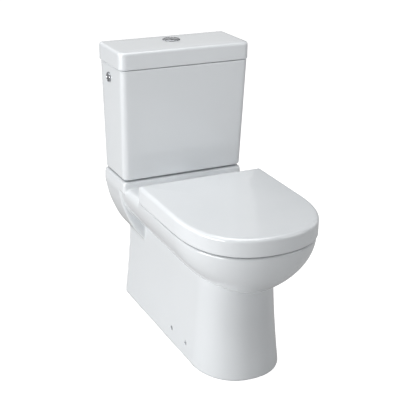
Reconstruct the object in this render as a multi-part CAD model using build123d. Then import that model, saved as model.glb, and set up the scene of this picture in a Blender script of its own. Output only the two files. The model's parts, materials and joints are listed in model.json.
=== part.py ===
from build123d import *
import os
from math import asin, degrees

# A close coupled toilet: pan, cistern, seat and the fittings inside.
# Millimetres. +X is right as seen from the front, +Y points to the wall, +Z is up.
# The origin is on the floor, on the plane of symmetry, midway between the nose and the wall.

# ---------------------------------------------------------------- driving sizes
WALL_Y = 350.0              # plane of the wall, and of every rear face
NOSE_Y = -350.0             # front of the seat cover
RIM_Z = 395.0               # top of the bowl's rim and of the hinge deck
PLATFORM_Z = 415.0          # top of the platform under the cistern
PLATFORM_FRONT_Y = 197.0
WALL = 11.0                 # thickness of the cast ceramic

# Bowl outside: a belly that curves in under the rim.
BELLY_HALF = 178.4
BELLY_FRONT = -346.0
BELLY_SHOULDER = -130.0     # where the straight sides end and the nose begins
BELLY_BACK = 240.0
BELLY_DROP = 182.2          # height of the front curve
BELLY_PULL = 222.2          # how far the front curve runs back
BELLY_SIDE_DROP = 164.5
BELLY_SIDE_PULL = 210.3

# Plinth outside: a D that flares out to the floor.
PLINTH_TOP_Z = 300.0
PLINTH_FLOOR_HALF = 119.5
PLINTH_TOP_HALF = 102.0
PLINTH_FLOOR_FRONT = -246.0
PLINTH_TOP_FRONT = -217.0
PLINTH_SHOULDER = -108.0
PLINTH_BACK_SPREAD = 8.5    # extra half width at the wall
PLINTH_FLARE = 1.7          # power of the flare

# Shoulders: the brackets behind the bowl that carry the platform.
SHOULDER_FRONT_Y = 232.0
SHOULDER_HALF = 182.0

DECK_ROUND = ((66, 2), (104, 18), (205, 18))     # y and radius of the deck's rounded side edges

# Bowl inside and waterway.
RIM_HOLE_HALF = 120.0
RIM_HOLE_FRONT = -314.0
RIM_HOLE_BACK = 20.0
TRAP_R = 36.0
TRAP_WALL = 9.0
OUTLET_Z = 180.0
OUTLET_R = 51.0             # 102 mm spigot
OUTLET_ROOT_R = 49.5        # where the spigot runs into the trapway's wall
OUTLET_ROOT_Y = 240.0
OUTLET_BORE_R = 43.0
OUTLET_END_Y = 300.0
OUTLET_LENGTH = 44.0        # that the pan connector can grip

# Hollow under the hinge deck.
DECK_UNDER_Z = 381.0
UNDER_DECK_Y = 66.0

# Where the casting is divided into nodes.
TRAP_SECTION_Y = 30.0
DECK_SECTION_Y = 60.0
DECK_SECTION_Z = 235.0
SECTION_ROOM = 2.0          # the dividing shapes run this far outside the walls they follow

# Side fixing holes in the plinth.
FIX_HOLE_Y = (-69.0, 19.0)
FIX_HOLE_Z = 40.0
FIX_HOLE_R = 5.75

# Cistern.
TANK_BASE_Z = 419.0
TANK_TOP_Z = 730.0
TANK_BASE_HALF = 179.5
TANK_TOP_HALF = 186.5
TANK_BASE_FRONT = 196.0
TANK_TOP_FRONT = 178.5
TANK_CORNER_R = 16.0
TANK_WALL = 10.0
TANK_FLOOR = 12.0
LID_HALF = 190.0
LID_FRONT = 178.0
LID_TOP_Z = 780.0
LID_FRONT_R = 23.0
LID_BACK_R = 12.0
LID_EDGE_R = 8.0
LID_WALL = 12.0
LIP_DEPTH = 8.0             # the lip that locates the lid inside the tank's mouth
LIP_GAP = 3.0
LIP_THICK = 6.0

# Flush valve and push button share one vertical axis.
VALVE_Y = 283.0
VALVE_TAIL_R = 30.0
WELL_R = 46.0
BOLT_X = 80.0
BOLT_Y = 275.0
BUTTON_R = 19.0
BUTTON_TOP_Z = 784.5
BUTTON_STROKE = 4.0
BUTTON_SPLIT_X = -4.0
ROD_X = 12.0
ROD_R = 2.5
ROCKER_X = 5.0
ROCKER_Z = 672.0
ROCKER_PIN_R = 1.5
HOOK_X = (0.1, 1.9)         # the lift tube's hook lies over the full flush rocker's fork only

# Water inlet height, on both sides of the tank.
INLET_Y = 278.0
INLET_Z = 695.0
INLET_HOLE_R = 9.0
INLET_THREAD_R = 8.8
INLET_TAIL_R = 8.1          # free end of the shank, past the back nut
INLET_TAIL_X = 190.5
INLET_SEAT_X = 184.0        # flat ground face round the hole
INLET_END_X = 199.0         # end of the threaded shank
FILL_X = 135.0
FILL_LEVER_Y = 292.0
FILL_ROD_Y = 256.0
FILL_LEVER_Z = 700.0
FLOAT_Z = 580.0             # bottom of the float at its lower stop

# Seat.
COVER_BACK_HALF = 182.6
COVER_HALF = 180.0
COVER_SHOULDER = -135.0
COVER_BACK = 88.0
COVER_BOTTOM_Z = 399.0
COVER_TOP_Z = 447.0
COVER_EDGE_R = 10.0
COVER_SKIN = 5.0
RING_INSET = 9.0
RING_BOTTOM_Z = 401.0
RING_TOP_Z = 430.0
RING_BACK = 78.0
RING_WALL = 9.0             # the ring is hollow underneath
GROOVE_DEPTH = 18.0
RING_HOLE_HALF = 112.0
RING_HOLE_FRONT = -276.0
RING_HOLE_BACK = 8.0
RING_BUFFERS = ((132, 30), (100, -266))
COVER_BUFFERS = ((140, 20), (90, -282))
HINGE_X = 78.0
HINGE_Y = 104.0
HINGE_Z = 417.0
HINGE_PIN_R = 6.0
HINGE_BARREL_R = 10.5

FIT = 0.05                  # radial clearance of a running fit
NOSE_FULL = 0.657           # Bezier handle that gives the bowl's full nose
PLINTH_FULL = 0.613
ROUND = 0.5523              # Bezier handle of a circle's quarter


# ---------------------------------------------------------------- shape helpers
def d_wire(z, half, front, shoulder, back, back_half, full):
    """Closed D at height z: straight back, straight sides and a rounded nose."""
    grip = shoulder - full * (shoulder - front)
    return Wire([
        Line((-back_half, back, z), (back_half, back, z)),
        Line((back_half, back, z), (half, shoulder, z)),
        Bezier((half, shoulder, z), (half, grip, z), (full * half, front, z), (0, front, z)),
        Bezier((0, front, z), (-full * half, front, z), (-half, grip, z), (-half, shoulder, z)),
        Line((-half, shoulder, z), (-back_half, back, z)),
    ])


def egg_wire(z, half, front, back, full=ROUND):
    """Closed oval at height z, made of four equal quarters."""
    mid = (front + back) / 2
    reach = (back - front) / 2
    near = mid - full * reach
    far = mid + full * reach
    side = full * half
    return Wire([
        Bezier((half, mid, z), (half, near, z), (side, front, z), (0, front, z)),
        Bezier((0, front, z), (-side, front, z), (-half, near, z), (-half, mid, z)),
        Bezier((-half, mid, z), (-half, far, z), (-side, back, z), (0, back, z)),
        Bezier((0, back, z), (side, back, z), (half, far, z), (half, mid, z)),
    ])


def rounded_wire(z, half, front, back, front_r, back_r):
    """Closed rectangle at height z with rounded corners, front and back radii apart."""
    f = front + front_r
    b = back - back_r
    fx = half - front_r
    bx = half - back_r
    cf = front_r * (1 - 0.70711)
    cb = back_r * (1 - 0.70711)
    return Wire([
        Line((-fx, front, z), (fx, front, z)),
        ThreePointArc((fx, front, z), (half - cf, front + cf, z), (half, f, z)),
        Line((half, f, z), (half, b, z)),
        ThreePointArc((half, b, z), (half - cb, back - cb, z), (bx, back, z)),
        Line((bx, back, z), (-bx, back, z)),
        ThreePointArc((-bx, back, z), (-half + cb, back - cb, z), (-half, b, z)),
        Line((-half, b, z), (-half, f, z)),
        ThreePointArc((-half, f, z), (-half + cf, front + cf, z), (-fx, front, z)),
    ])


def prism(wire, height):
    """Solid standing on a flat wire."""
    return extrude(Face(wire), amount=height, dir=(0, 0, 1))


def block(x0, x1, y0, y1, z0, z1):
    """Box between two corners."""
    box = Box(x1 - x0, y1 - y0, z1 - z0, align=(Align.MIN, Align.MIN, Align.MIN))
    return Pos(x0, y0, z0) * box


def post(x, y, z0, z1, radius):
    """Upright cylinder."""
    return Pos(x, y, z0) * Cylinder(radius, z1 - z0, align=(Align.CENTER, Align.CENTER, Align.MIN))


def pipe(x, y, z0, z1, outer, inner):
    """Upright tube or ring."""
    return post(x, y, z0, z1, outer) - post(x, y, z0 - 1, z1 + 1, inner)


def bar_x(x0, x1, y, z, radius):
    """Cylinder along X."""
    rod = Cylinder(radius, x1 - x0, align=(Align.CENTER, Align.CENTER, Align.MIN))
    return Pos(x0, y, z) * Rot(0, 90, 0) * rod


def bar_y(x, y0, y1, z, radius):
    """Cylinder along Y."""
    rod = Cylinder(radius, y1 - y0, align=(Align.CENTER, Align.CENTER, Align.MIN))
    return Pos(x, y0, z) * Rot(-90, 0, 0) * rod


def save(shape, name):
    """Write one node; several solids stay a group."""
    solids = shape.solids()
    whole = solids[0] if len(solids) == 1 else Compound(children=list(solids))
    whole.label = name
    export_step(whole, f"parts/{name}.step")


# ---------------------------------------------------------------- pan
def belly_front(z):
    """Y of the bowl's front at height z."""
    u = min((RIM_Z - z) / BELLY_DROP, 1)
    return BELLY_FRONT + BELLY_PULL * (1 - (1 - u ** 1.82) ** (1 / 1.82))


def belly_half(z):
    """Half width of the bowl at height z."""
    u = min((RIM_Z - z) / BELLY_SIDE_DROP, 1)
    return BELLY_HALF - BELLY_SIDE_PULL * (1 - (1 - u ** 2.03) ** (1 / 2.03))


def belly():
    """Bowl outside, from the rim down to inside the plinth."""
    wires = []
    for z in (395, 375, 352, 328, 305, 285, 268, 254):
        half = belly_half(z)
        front = belly_front(z)
        shoulder = BELLY_SHOULDER + 0.35 * (front - BELLY_FRONT)
        wires.append(d_wire(z, half, front, shoulder, BELLY_BACK, half, NOSE_FULL))
    return Solid.make_loft(wires)


def plinth(inset, top, back):
    """Plinth shape, inset all round by a wall thickness."""
    wires = []
    bottom = 0.0 if inset == 0 else -1.0
    for part in (0, 0.2, 0.45, 0.72, 1):
        z = bottom + part * (top - bottom)
        flare = max(0.0, 1 - z / PLINTH_TOP_Z) ** PLINTH_FLARE
        half = PLINTH_TOP_HALF + (PLINTH_FLOOR_HALF - PLINTH_TOP_HALF) * flare - inset
        front = PLINTH_TOP_FRONT + (PLINTH_FLOOR_FRONT - PLINTH_TOP_FRONT) * flare + inset
        spread = PLINTH_BACK_SPREAD * (0.45 + 0.55 * flare)
        wires.append(d_wire(z, half, front, PLINTH_SHOULDER, back, half + spread, PLINTH_FULL))
    return Solid.make_loft(wires)


def shoulder_face(inset, top):
    """Section across both shoulders: upright near the platform, sweeping in underneath."""
    w = SHOULDER_HALF - inset
    foot = 104.0 - inset
    low = 212.0 + inset
    right = [(w - 2, top), (w, 386), (w - 11 - inset * 0.2, 330), (w - 46 - inset * 0.25, 253 + inset * 0.5)]
    return make_face(Polyline((foot, low), (-foot, low))
                     + Spline((-foot, low), (-right[3][0], right[3][1]), (-right[2][0], right[2][1]),
                              (-right[1][0], right[1][1]))
                     + Polyline((-right[1][0], right[1][1]), (-right[0][0], top), (right[0][0], top),
                                right[1])
                     + Spline(right[1], right[2], right[3], (foot, low)))


def shoulders(inset, y0, y1, top):
    """Prism of the shoulder section from y0 to y1."""
    face = Plane.XZ * shoulder_face(inset, top)
    return Pos(0, y0, 0) * extrude(face, amount=y1 - y0, dir=(0, 1, 0))


def bowl_rings():
    """Height, half width, front and back of the bowl's inside."""
    return (
        (352, 130, -318, 34),
        (320, 127, -298, 40),
        (285, 104, -262, 42),
        (250, 78, -205, 38),
        (205, 58, -140, 28),
        (150, 46, -98, 14),
        (100, 38, -72, 2),
        (62, 24, -52, -8),
    )


def bowl_space(grow):
    """Inside of the bowl below the rim, grown by a wall thickness."""
    wires = []
    for z, half, front, back in bowl_rings():
        low = z - grow if z == bowl_rings()[-1][0] else z
        wires.append(egg_wire(low, half + grow, front - grow, back + grow, 0.58))
    return Solid.make_loft(wires)


def rim_hole():
    """Opening inside the rim, narrower than the bowl below it."""
    wires = [egg_wire(RIM_Z + 1, RIM_HOLE_HALF, RIM_HOLE_FRONT, RIM_HOLE_BACK, 0.62),
             egg_wire(351, RIM_HOLE_HALF - 3, RIM_HOLE_FRONT + 6, RIM_HOLE_BACK - 2, 0.62)]
    return Solid.make_loft(wires)


def trap(radius):
    """Trapway from the sump over the weir to the outlet."""
    points = [(0, -30, 100), (0, 62, 100), (0, 152, 245), (0, 252, OUTLET_Z), (0, 285, OUTLET_Z)]
    path = FilletPolyline(*points, radius=[60, 57, 70])
    start = Plane(origin=points[0], z_dir=(0, 1, 0))
    return sweep(start * Circle(radius), path=path)


def flush_duct(grow):
    """Way of the flush water: down the well and forward to the back of the bowl."""
    well = post(0, VALVE_Y, 346 - grow, PLATFORM_Z + 1 - 2 * grow, WELL_R + grow)
    tunnel = block(-32 - grow, 32 + grow, 22, VALVE_Y, 346 - grow, 376 + grow * 0.4)
    return well + tunnel


def corner_wire(side, y, radius):
    """What is cut off one side edge of the hinge deck, at one y, to round it."""
    edge = side * (BELLY_HALF + 1)
    start = side * (BELLY_HALF - radius)
    mid = side * (BELLY_HALF - radius * (1 - 0.70711))
    return Wire([
        Line((start, y, RIM_Z), (edge, y, RIM_Z)),
        Line((edge, y, RIM_Z), (edge, y, RIM_Z - radius)),
        Line((edge, y, RIM_Z - radius), (side * BELLY_HALF, y, RIM_Z - radius)),
        ThreePointArc((side * BELLY_HALF, y, RIM_Z - radius), (mid, y, RIM_Z - radius * (1 - 0.70711)),
                      (start, y, RIM_Z)),
    ])


def deck_corner(side):
    """Cutter that rounds one side edge of the deck behind the seat, growing in from the rim."""
    growing = Solid.make_loft([corner_wire(side, y, r) for y, r in DECK_ROUND[:2]], True)
    even = Solid.make_loft([corner_wire(side, y, r) for y, r in DECK_ROUND[1:]], True)
    return growing + even


def casting():
    """The whole pan as it is cast, in one piece."""
    outside = belly() - deck_corner(-1) - deck_corner(1)
    outside += plinth(0, PLINTH_TOP_Z, WALL_Y)
    outside += shoulders(0, SHOULDER_FRONT_Y, WALL_Y, PLATFORM_Z)
    step_half = SHOULDER_HALF - 4
    step_back = SHOULDER_FRONT_Y + 2
    outside += block(-step_half, step_half, PLATFORM_FRONT_Y, step_back, DECK_UNDER_Z - 1, PLATFORM_Z)
    hollow = plinth(WALL, 250, WALL_Y + 1)
    hollow += shoulders(WALL, SHOULDER_FRONT_Y + WALL, WALL_Y + 1, PLATFORM_Z - 15)
    side = [(88, 235), (92, 266), (128, 303), (155, 350), (160, DECK_UNDER_Z)]
    mirrored = [(-x, z) for x, z in reversed(side)]
    under = Plane.XZ * make_face(Polyline(*side, *mirrored, side[0]))
    reach = SHOULDER_FRONT_Y + WALL - UNDER_DECK_Y + 1
    hollow += Pos(0, UNDER_DECK_Y, 0) * extrude(under, amount=reach, dir=(0, 1, 0))
    kept = bowl_space(WALL) + trap(TRAP_R + TRAP_WALL) + flush_duct(WALL)
    kept += bar_y(0, OUTLET_ROOT_Y, OUTLET_END_Y - OUTLET_LENGTH, OUTLET_Z, OUTLET_ROOT_R)
    kept += bar_y(0, OUTLET_END_Y - OUTLET_LENGTH, OUTLET_END_Y, OUTLET_Z, OUTLET_R)
    body = outside - (hollow - kept)
    body -= bowl_space(0)
    body -= rim_hole()
    body -= trap(TRAP_R)
    body -= bar_y(0, OUTLET_ROOT_Y + 12, OUTLET_END_Y + 1, OUTLET_Z, OUTLET_BORE_R)
    body -= flush_duct(0)
    for side in (-1, 1):
        body -= post(side * BOLT_X, BOLT_Y, 390, PLATFORM_Z + 1, 7)
        body -= post(side * HINGE_X, HINGE_Y, 375, RIM_Z + 1, 7.5)
        for y in FIX_HOLE_Y:
            inner = 90 * side
            outer = 140 * side
            body -= bar_x(min(inner, outer), max(inner, outer), y, FIX_HOLE_Z, FIX_HOLE_R)
    return body


def pan_sections():
    """The casting in four nodes that meet face to face, each simple enough for open collision."""
    body = casting()
    far = 400
    room = trap(TRAP_R + TRAP_WALL + SECTION_ROOM)
    room += bar_y(0, OUTLET_ROOT_Y - 2, OUTLET_END_Y + 1, OUTLET_Z, OUTLET_R + SECTION_ROOM)
    trap_room = room & block(-far, far, TRAP_SECTION_Y, far, 0, far)
    deck_room = block(-far, far, DECK_SECTION_Y, far, DECK_SECTION_Z, 2 * far)
    sump_room = bowl_space(WALL + SECTION_ROOM) + trap(TRAP_R + TRAP_WALL + SECTION_ROOM)
    low_room = block(-far, far, -far, far, -1, DECK_SECTION_Z) - sump_room
    rest = body - trap_room
    return {
        "pan_trapway": body & trap_room,
        "pan_deck": rest & deck_room,
        "pan_plinth": rest & low_room,
        "pan_bowl": rest - deck_room - low_room,
    }


# ---------------------------------------------------------------- cistern
def tank_front(z):
    """Y of the tank's front at height z."""
    part = (z - TANK_BASE_Z) / (TANK_TOP_Z - TANK_BASE_Z)
    return TANK_BASE_FRONT + part * (TANK_TOP_FRONT - TANK_BASE_FRONT)


def tank_half(z):
    """Half width of the tank at height z."""
    part = (z - TANK_BASE_Z) / (TANK_TOP_Z - TANK_BASE_Z)
    return TANK_BASE_HALF + part * (TANK_TOP_HALF - TANK_BASE_HALF)


def tank_shape(inset, z0, z1, corner):
    """Tapered tank, inset all round by a wall thickness."""
    wires = [rounded_wire(z, tank_half(z) - inset, tank_front(z) + inset, WALL_Y - inset, corner, corner)
             for z in (z0, z1)]
    return Solid.make_loft(wires, True)


def cistern_tank():
    body = tank_shape(0, TANK_BASE_Z, TANK_TOP_Z, TANK_CORNER_R)
    body = fillet(body.faces().sort_by(Axis.Z)[0].edges(), 7)
    body = fillet(body.faces().sort_by(Axis.Z)[-1].edges(), 2.2)
    body -= tank_shape(TANK_WALL, TANK_BASE_Z + TANK_FLOOR, TANK_TOP_Z + 1, 9)
    body -= post(0, VALVE_Y, TANK_BASE_Z - 1, TANK_BASE_Z + TANK_FLOOR + 1, VALVE_TAIL_R + 1)
    for side in (-1, 1):
        body -= post(side * BOLT_X, BOLT_Y, TANK_BASE_Z - 1, TANK_BASE_Z + TANK_FLOOR + 1, 5.5)
        near = min(side * 160, side * 195)
        body -= bar_x(near, near + 35, INLET_Y, INLET_Z, INLET_HOLE_R)
        near = min(side * INLET_SEAT_X, side * 195)
        body -= bar_x(near, near + 195 - INLET_SEAT_X, INLET_Y, INLET_Z, 14.5)
    return body


def lip_wire(z, inset):
    """Outline inside the tank's mouth, inset from the tank's outer face."""
    return rounded_wire(z, TANK_TOP_HALF - inset, TANK_TOP_FRONT + inset, WALL_Y - inset, 8, 8)


def cistern_lid():
    height = LID_TOP_Z - TANK_TOP_Z
    body = prism(rounded_wire(TANK_TOP_Z, LID_HALF, LID_FRONT, WALL_Y, LID_FRONT_R, LID_BACK_R), height)
    body = fillet(body.faces().sort_by(Axis.Z)[-1].edges(), LID_EDGE_R)
    body = fillet(body.faces().sort_by(Axis.Z)[0].edges(), 2.2)
    body += prism(lip_wire(TANK_TOP_Z - LIP_DEPTH, TANK_WALL + LIP_GAP), LIP_DEPTH)
    low = TANK_TOP_Z - LIP_DEPTH - 1
    body -= prism(lip_wire(low, TANK_WALL + LIP_GAP + LIP_THICK), LID_TOP_Z - LID_WALL - low)
    body -= post(0, VALVE_Y, TANK_TOP_Z, LID_TOP_Z + 1, BUTTON_R + 3.3)
    return body


def coupling_gasket():
    return pipe(0, VALVE_Y, PLATFORM_Z, TANK_BASE_Z, 62, WELL_R)


def cistern_pads():
    pads = []
    for side in (-1, 1):
        for y in (232, 322):
            pads.append(block(side * 145 - 12, side * 145 + 12, y - 8, y + 8, PLATFORM_Z, TANK_BASE_Z))
    return Compound(pads)


def at_bolts(shape):
    """Copy of a piece at each of the two cistern bolts."""
    return Compound([Pos(side * BOLT_X, BOLT_Y, 0) * shape for side in (-1, 1)])


def cistern_bolts():
    top = TANK_BASE_Z + TANK_FLOOR + 8
    head = fillet(post(0, 0, top, top + 5, 9).faces().sort_by(Axis.Z)[-1].edges(), 1.5)
    head -= block(-10, 10, -0.8, 0.8, top + 3, top + 6)
    return at_bolts(head + post(0, 0, 377, top, 4))


def bolt_cone_washers():
    base = TANK_BASE_Z + TANK_FLOOR
    cone = Pos(0, 0, base) * Cone(13, 9, 8, align=(Align.CENTER, Align.CENTER, Align.MIN))
    return at_bolts(cone - post(0, 0, base - 1, base + 9, 4))


def bolt_plate_washers():
    return at_bolts(pipe(0, 0, PLATFORM_Z - 17, PLATFORM_Z - 15, 14, 4.2))


def wing_nut(z0, z1, hub, hole, span, thick):
    """Nut with two wings that taper outwards."""
    nut = post(0, 0, z0, z1, hub)
    for side in (-1, 1):
        near = min(side * (hub - 1.5), side * span)
        nut += block(near, near + span - hub + 1.5, -thick / 2, thick / 2, z0 - 5, z1 - 2)
    return nut - post(0, 0, z0 - 6, z1 + 1, hole)


def cistern_wing_nuts():
    return at_bolts(wing_nut(PLATFORM_Z - 26, PLATFORM_Z - 17, 7.5, 4.05, 17, 3))


# ---------------------------------------------------------------- flush valve
SEAT_Z = TANK_BASE_Z + TANK_FLOOR + 3       # underside of the valve seat's flange
SEAL_Z = SEAT_Z + 3
TOWER_TOP_Z = 650.0
TUBE_R = 14.0


def flush_valve_seat():
    return pipe(0, VALVE_Y, 395, SEAT_Z, VALVE_TAIL_R, 26) + pipe(0, VALVE_Y, SEAT_Z, SEAL_Z, 42, 26)


def flush_valve_washer():
    return pipe(0, VALVE_Y, SEAT_Z - 3, SEAT_Z, 42, VALVE_TAIL_R + 0.2)


def flush_valve_back_nut():
    body = pipe(0, VALVE_Y, TANK_BASE_Z - 3, TANK_BASE_Z, 43, VALVE_TAIL_R + FIT)
    hexagon = Face(Wire.make_polygon([(v.X, v.Y, 0) for v in
                                      [Vector(41, 0, 0).rotate(Axis.Z, 60 * i) for i in range(6)]]))
    grip = Pos(0, VALVE_Y, TANK_BASE_Z - 11) * extrude(hexagon, amount=8, dir=(0, 0, 1))
    return body + (grip - post(0, VALVE_Y, TANK_BASE_Z - 12, TANK_BASE_Z, VALVE_TAIL_R + FIT))


def rocker_side(side):
    """X of a rocker's pin."""
    return side * ROCKER_X


def flush_valve_tower():
    body = pipe(0, VALVE_Y, SEAL_Z, SEAL_Z + 8, 41, 34)
    body += pipe(0, VALVE_Y, 478, TOWER_TOP_Z, 36, 33.5)
    for angle in (45, 135, 225, 315):
        leg = block(33.6, 36, -7, 7, SEAL_Z, 482)
        body += Pos(0, VALVE_Y, 0) * Rot(0, 0, angle) * leg
    body += pipe(0, VALVE_Y, TOWER_TOP_Z - 3, TOWER_TOP_Z, 36, TUBE_R + 0.6)
    body -= block(-6, -1, VALVE_Y + 15, VALVE_Y + 18.6, TOWER_TOP_Z - 4, TOWER_TOP_Z + 1)
    for side in (-1, 1):
        y = VALVE_Y + side * 8.5
        body += (block(-20, 20, y - 1.5, y + 1.5, TOWER_TOP_Z - 3, ROCKER_Z + 2.5)
                 - block(-15.5, 15.5, y - 3, y + 3, TOWER_TOP_Z - 5, TOWER_TOP_Z + 8))
    for side in (-1, 1):
        body -= bar_y(rocker_side(side), VALVE_Y - 12, VALVE_Y + 12, ROCKER_Z, ROCKER_PIN_R)
    return body


def lift_tube():
    body = pipe(0, VALVE_Y, SEAL_Z, TOWER_TOP_Z + 2, TUBE_R, 12)
    body += pipe(0, VALVE_Y, SEAL_Z + 3, SEAL_Z + 6, 28, 13)
    body += block(-12.5, 12.5, VALVE_Y - 1.5, VALVE_Y + 1.5, TOWER_TOP_Z - 4, TOWER_TOP_Z)
    body += post(0, VALVE_Y, TOWER_TOP_Z - 2, ROCKER_Z + 4.5, 1.5)
    body += block(HOOK_X[0], HOOK_X[1], VALVE_Y - 4.5, VALVE_Y + 4.5, ROCKER_Z + 2, ROCKER_Z + 4.5)
    return body


def lift_tube_seal():
    return pipe(0, VALVE_Y, SEAL_Z, SEAL_Z + 3, 31, TUBE_R)


def half_flush_latch():
    y = VALVE_Y + 15.6
    body = block(-5, -2, y, y + 2.4, 560, ROCKER_Z + 5)
    body += block(-5, -2, VALVE_Y - 3, y + 2.4, ROCKER_Z + 3.3, ROCKER_Z + 5)
    float_cup = pipe(0, VALVE_Y, 556, 590, 31, 17) & block(-40, 40, VALVE_Y + 4, VALVE_Y + 40, 550, 600)
    return body + float_cup


def rocker(side):
    """Lever on its pin: a pad under the push rod and a forked end under the lift hook."""
    x = rocker_side(side)
    pad = block(0, 11, -3, 3, -1.5, 1.5)
    fork = block(-4.5, 0, -4.5, 4.5, -1.5, 1.5) - block(-6, -2.6, -2.2, 2.2, -2, 2)
    hub = Rot(-90, 0, 0) * Cylinder(2.8, 9)
    shape = pad + fork + hub - Rot(-90, 0, 0) * Cylinder(ROCKER_PIN_R + FIT, 12)
    if side < 0:
        shape = Rot(0, 0, 180) * shape
    return Pos(x, VALVE_Y, ROCKER_Z) * shape


def rocker_pins():
    return Compound([bar_y(rocker_side(side), VALVE_Y - 10.5, VALVE_Y + 10.5, ROCKER_Z, ROCKER_PIN_R)
                     for side in (-1, 1)])


# ---------------------------------------------------------------- push button
BUTTON_FLOOR_Z = 752.0
BUTTON_UNDER_Z = 775.0


def button_housing():
    sleeve = pipe(0, VALVE_Y, BUTTON_FLOOR_Z, LID_TOP_Z, BUTTON_R + 2.8, BUTTON_R + 0.4)
    floor = post(0, VALVE_Y, BUTTON_FLOOR_Z, BUTTON_FLOOR_Z + 2, BUTTON_R + 1)
    bezel = post(0, VALVE_Y, LID_TOP_Z, LID_TOP_Z + 3, 24.5)
    bezel = fillet(bezel.faces().sort_by(Axis.Z)[-1].edges(), 1.8)
    body = sleeve + floor + (bezel - post(0, VALVE_Y, LID_TOP_Z - 1, LID_TOP_Z + 4, BUTTON_R + 0.4))
    for side in (-1, 1):
        body -= post(side * ROD_X, VALVE_Y, BUTTON_FLOOR_Z - 1, BUTTON_FLOOR_Z + 3, ROD_R + 0.4)
    return body


def button_ring_nut():
    under = LID_TOP_Z - LID_WALL
    body = pipe(0, VALVE_Y, under - 7, under, 29, BUTTON_R + 2.9)
    for i in range(8):
        body -= Pos(0, VALVE_Y, 0) * Rot(0, 0, 45 * i) * post(30, 0, under - 8, under - 2, 2.5)
    return body


def button(x0, x1, side):
    """One half of the split button, slightly domed, with a boss that holds its push rod."""
    cap = post(0, VALVE_Y, BUTTON_UNDER_Z, BUTTON_TOP_Z, BUTTON_R)
    cap &= Pos(0, VALVE_Y, BUTTON_TOP_Z - 110) * Sphere(110)
    cap &= block(x0, x1, VALVE_Y - 30, VALVE_Y + 30, BUTTON_UNDER_Z, BUTTON_TOP_Z + 1)
    boss = post(side * ROD_X, VALVE_Y, BUTTON_UNDER_Z - 10, BUTTON_UNDER_Z + 1, 4.5)
    return cap + boss - post(side * ROD_X, VALVE_Y, BUTTON_UNDER_Z - 11, BUTTON_UNDER_Z - 1, ROD_R + FIT)


def push_rod(side):
    """Rod with a rounded foot, just above its rocker's pad."""
    foot = ROCKER_Z + 1.5 + 0.5
    rod = post(side * ROD_X, VALVE_Y, foot + ROD_R, BUTTON_UNDER_Z - 1, ROD_R)
    return rod + Pos(side * ROD_X, VALVE_Y, foot + ROD_R) * Sphere(ROD_R)


def button_spring(side):
    """Coil spring between the housing's floor and the button."""
    wire = 0.45
    bottom = BUTTON_FLOOR_Z + 2 + wire + 0.1
    height = BUTTON_UNDER_Z - bottom - wire - 0.1
    path = Helix(pitch=height / 4, height=height, radius=5.9)
    section = Plane(origin=path @ 0, z_dir=path % 0) * Circle(wire)
    return Pos(side * ROD_X, VALVE_Y, bottom) * sweep(section, path=path, is_frenet=True)


# ---------------------------------------------------------------- fill valve and blanking cap
def fill_valve_body():
    column = post(FILL_X, INLET_Y, 560, 682, 13) + post(FILL_X, INLET_Y, 544, 562, 6)
    body = column + block(FILL_X + 5.5, 168, INLET_Y - 10, INLET_Y + 10, 670, 705)
    body += bar_x(167, 171.5, INLET_Y, INLET_Z, 14)
    body += bar_x(171, INLET_TAIL_X, INLET_Y, INLET_Z, INLET_THREAD_R)
    body += bar_x(INLET_TAIL_X, INLET_END_X, INLET_Y, INLET_Z, INLET_TAIL_R)
    body += block(FILL_X - 8.5, FILL_X + 8.5, FILL_LEVER_Y - 7, FILL_LEVER_Y + 5, 674, 682)
    for side in (-1, 1):
        x = FILL_X + side * 7
        body += block(x - 1.5, x + 1.5, FILL_LEVER_Y - 5, FILL_LEVER_Y + 5, 676, FILL_LEVER_Z + 5)
    body -= bar_x(FILL_X - 10, FILL_X + 10, FILL_LEVER_Y, FILL_LEVER_Z, 2)
    body -= bar_x(FILL_X - 1, 200, INLET_Y, INLET_Z, 4.5)
    body -= post(FILL_X, INLET_Y, 543, INLET_Z - 14, 4.5)
    body -= post(FILL_X + 12, INLET_Y, INLET_Z - 20, INLET_Z, 4)
    body -= bar_x(FILL_X, FILL_X + 14, INLET_Y, INLET_Z - 19, 4)
    return body


def fill_valve_washer():
    return bar_x(171.5, 174.8, INLET_Y, INLET_Z, 14) - bar_x(171, 176, INLET_Y, INLET_Z, INLET_THREAD_R + 0.2)


def fill_valve_back_nut():
    hexagon = Rot(0, 90, 0) * extrude(RegularPolygon(13.5, 6), amount=5.5, dir=(0, 0, 1))
    nut = Pos(INLET_SEAT_X, INLET_Y, INLET_Z) * hexagon
    return nut - bar_x(INLET_SEAT_X - 1, INLET_TAIL_X, INLET_Y, INLET_Z, INLET_THREAD_R + FIT)


def fill_valve_float():
    """Upturned cup that slides on the valve's column, with the rod that lifts the lever."""
    cup = pipe(FILL_X, INLET_Y, FLOAT_Z, FLOAT_Z + 55, 28, 14)
    cup -= pipe(FILL_X, INLET_Y, FLOAT_Z - 1, FLOAT_Z + 50, 26.2, 15.8)
    return cup + post(FILL_X, FILL_ROD_Y, FLOAT_Z + 51, FILL_LEVER_Z - 2.5, 2)


def fill_valve_lever():
    arm = block(FILL_X - 3.5, FILL_X + 3.5, FILL_ROD_Y - 4, FILL_LEVER_Y, FILL_LEVER_Z - 2, FILL_LEVER_Z + 2)
    hub = bar_x(FILL_X - 5, FILL_X + 5, FILL_LEVER_Y, FILL_LEVER_Z, 4)
    return arm + hub - bar_x(FILL_X - 6, FILL_X + 6, FILL_LEVER_Y, FILL_LEVER_Z, 2 + FIT)


def fill_lever_pin():
    return bar_x(FILL_X - 9.5, FILL_X + 9.5, FILL_LEVER_Y, FILL_LEVER_Z, 2)


def discharge_tube():
    return pipe(FILL_X, INLET_Y, 448, 560, 8, 6.05)


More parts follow.
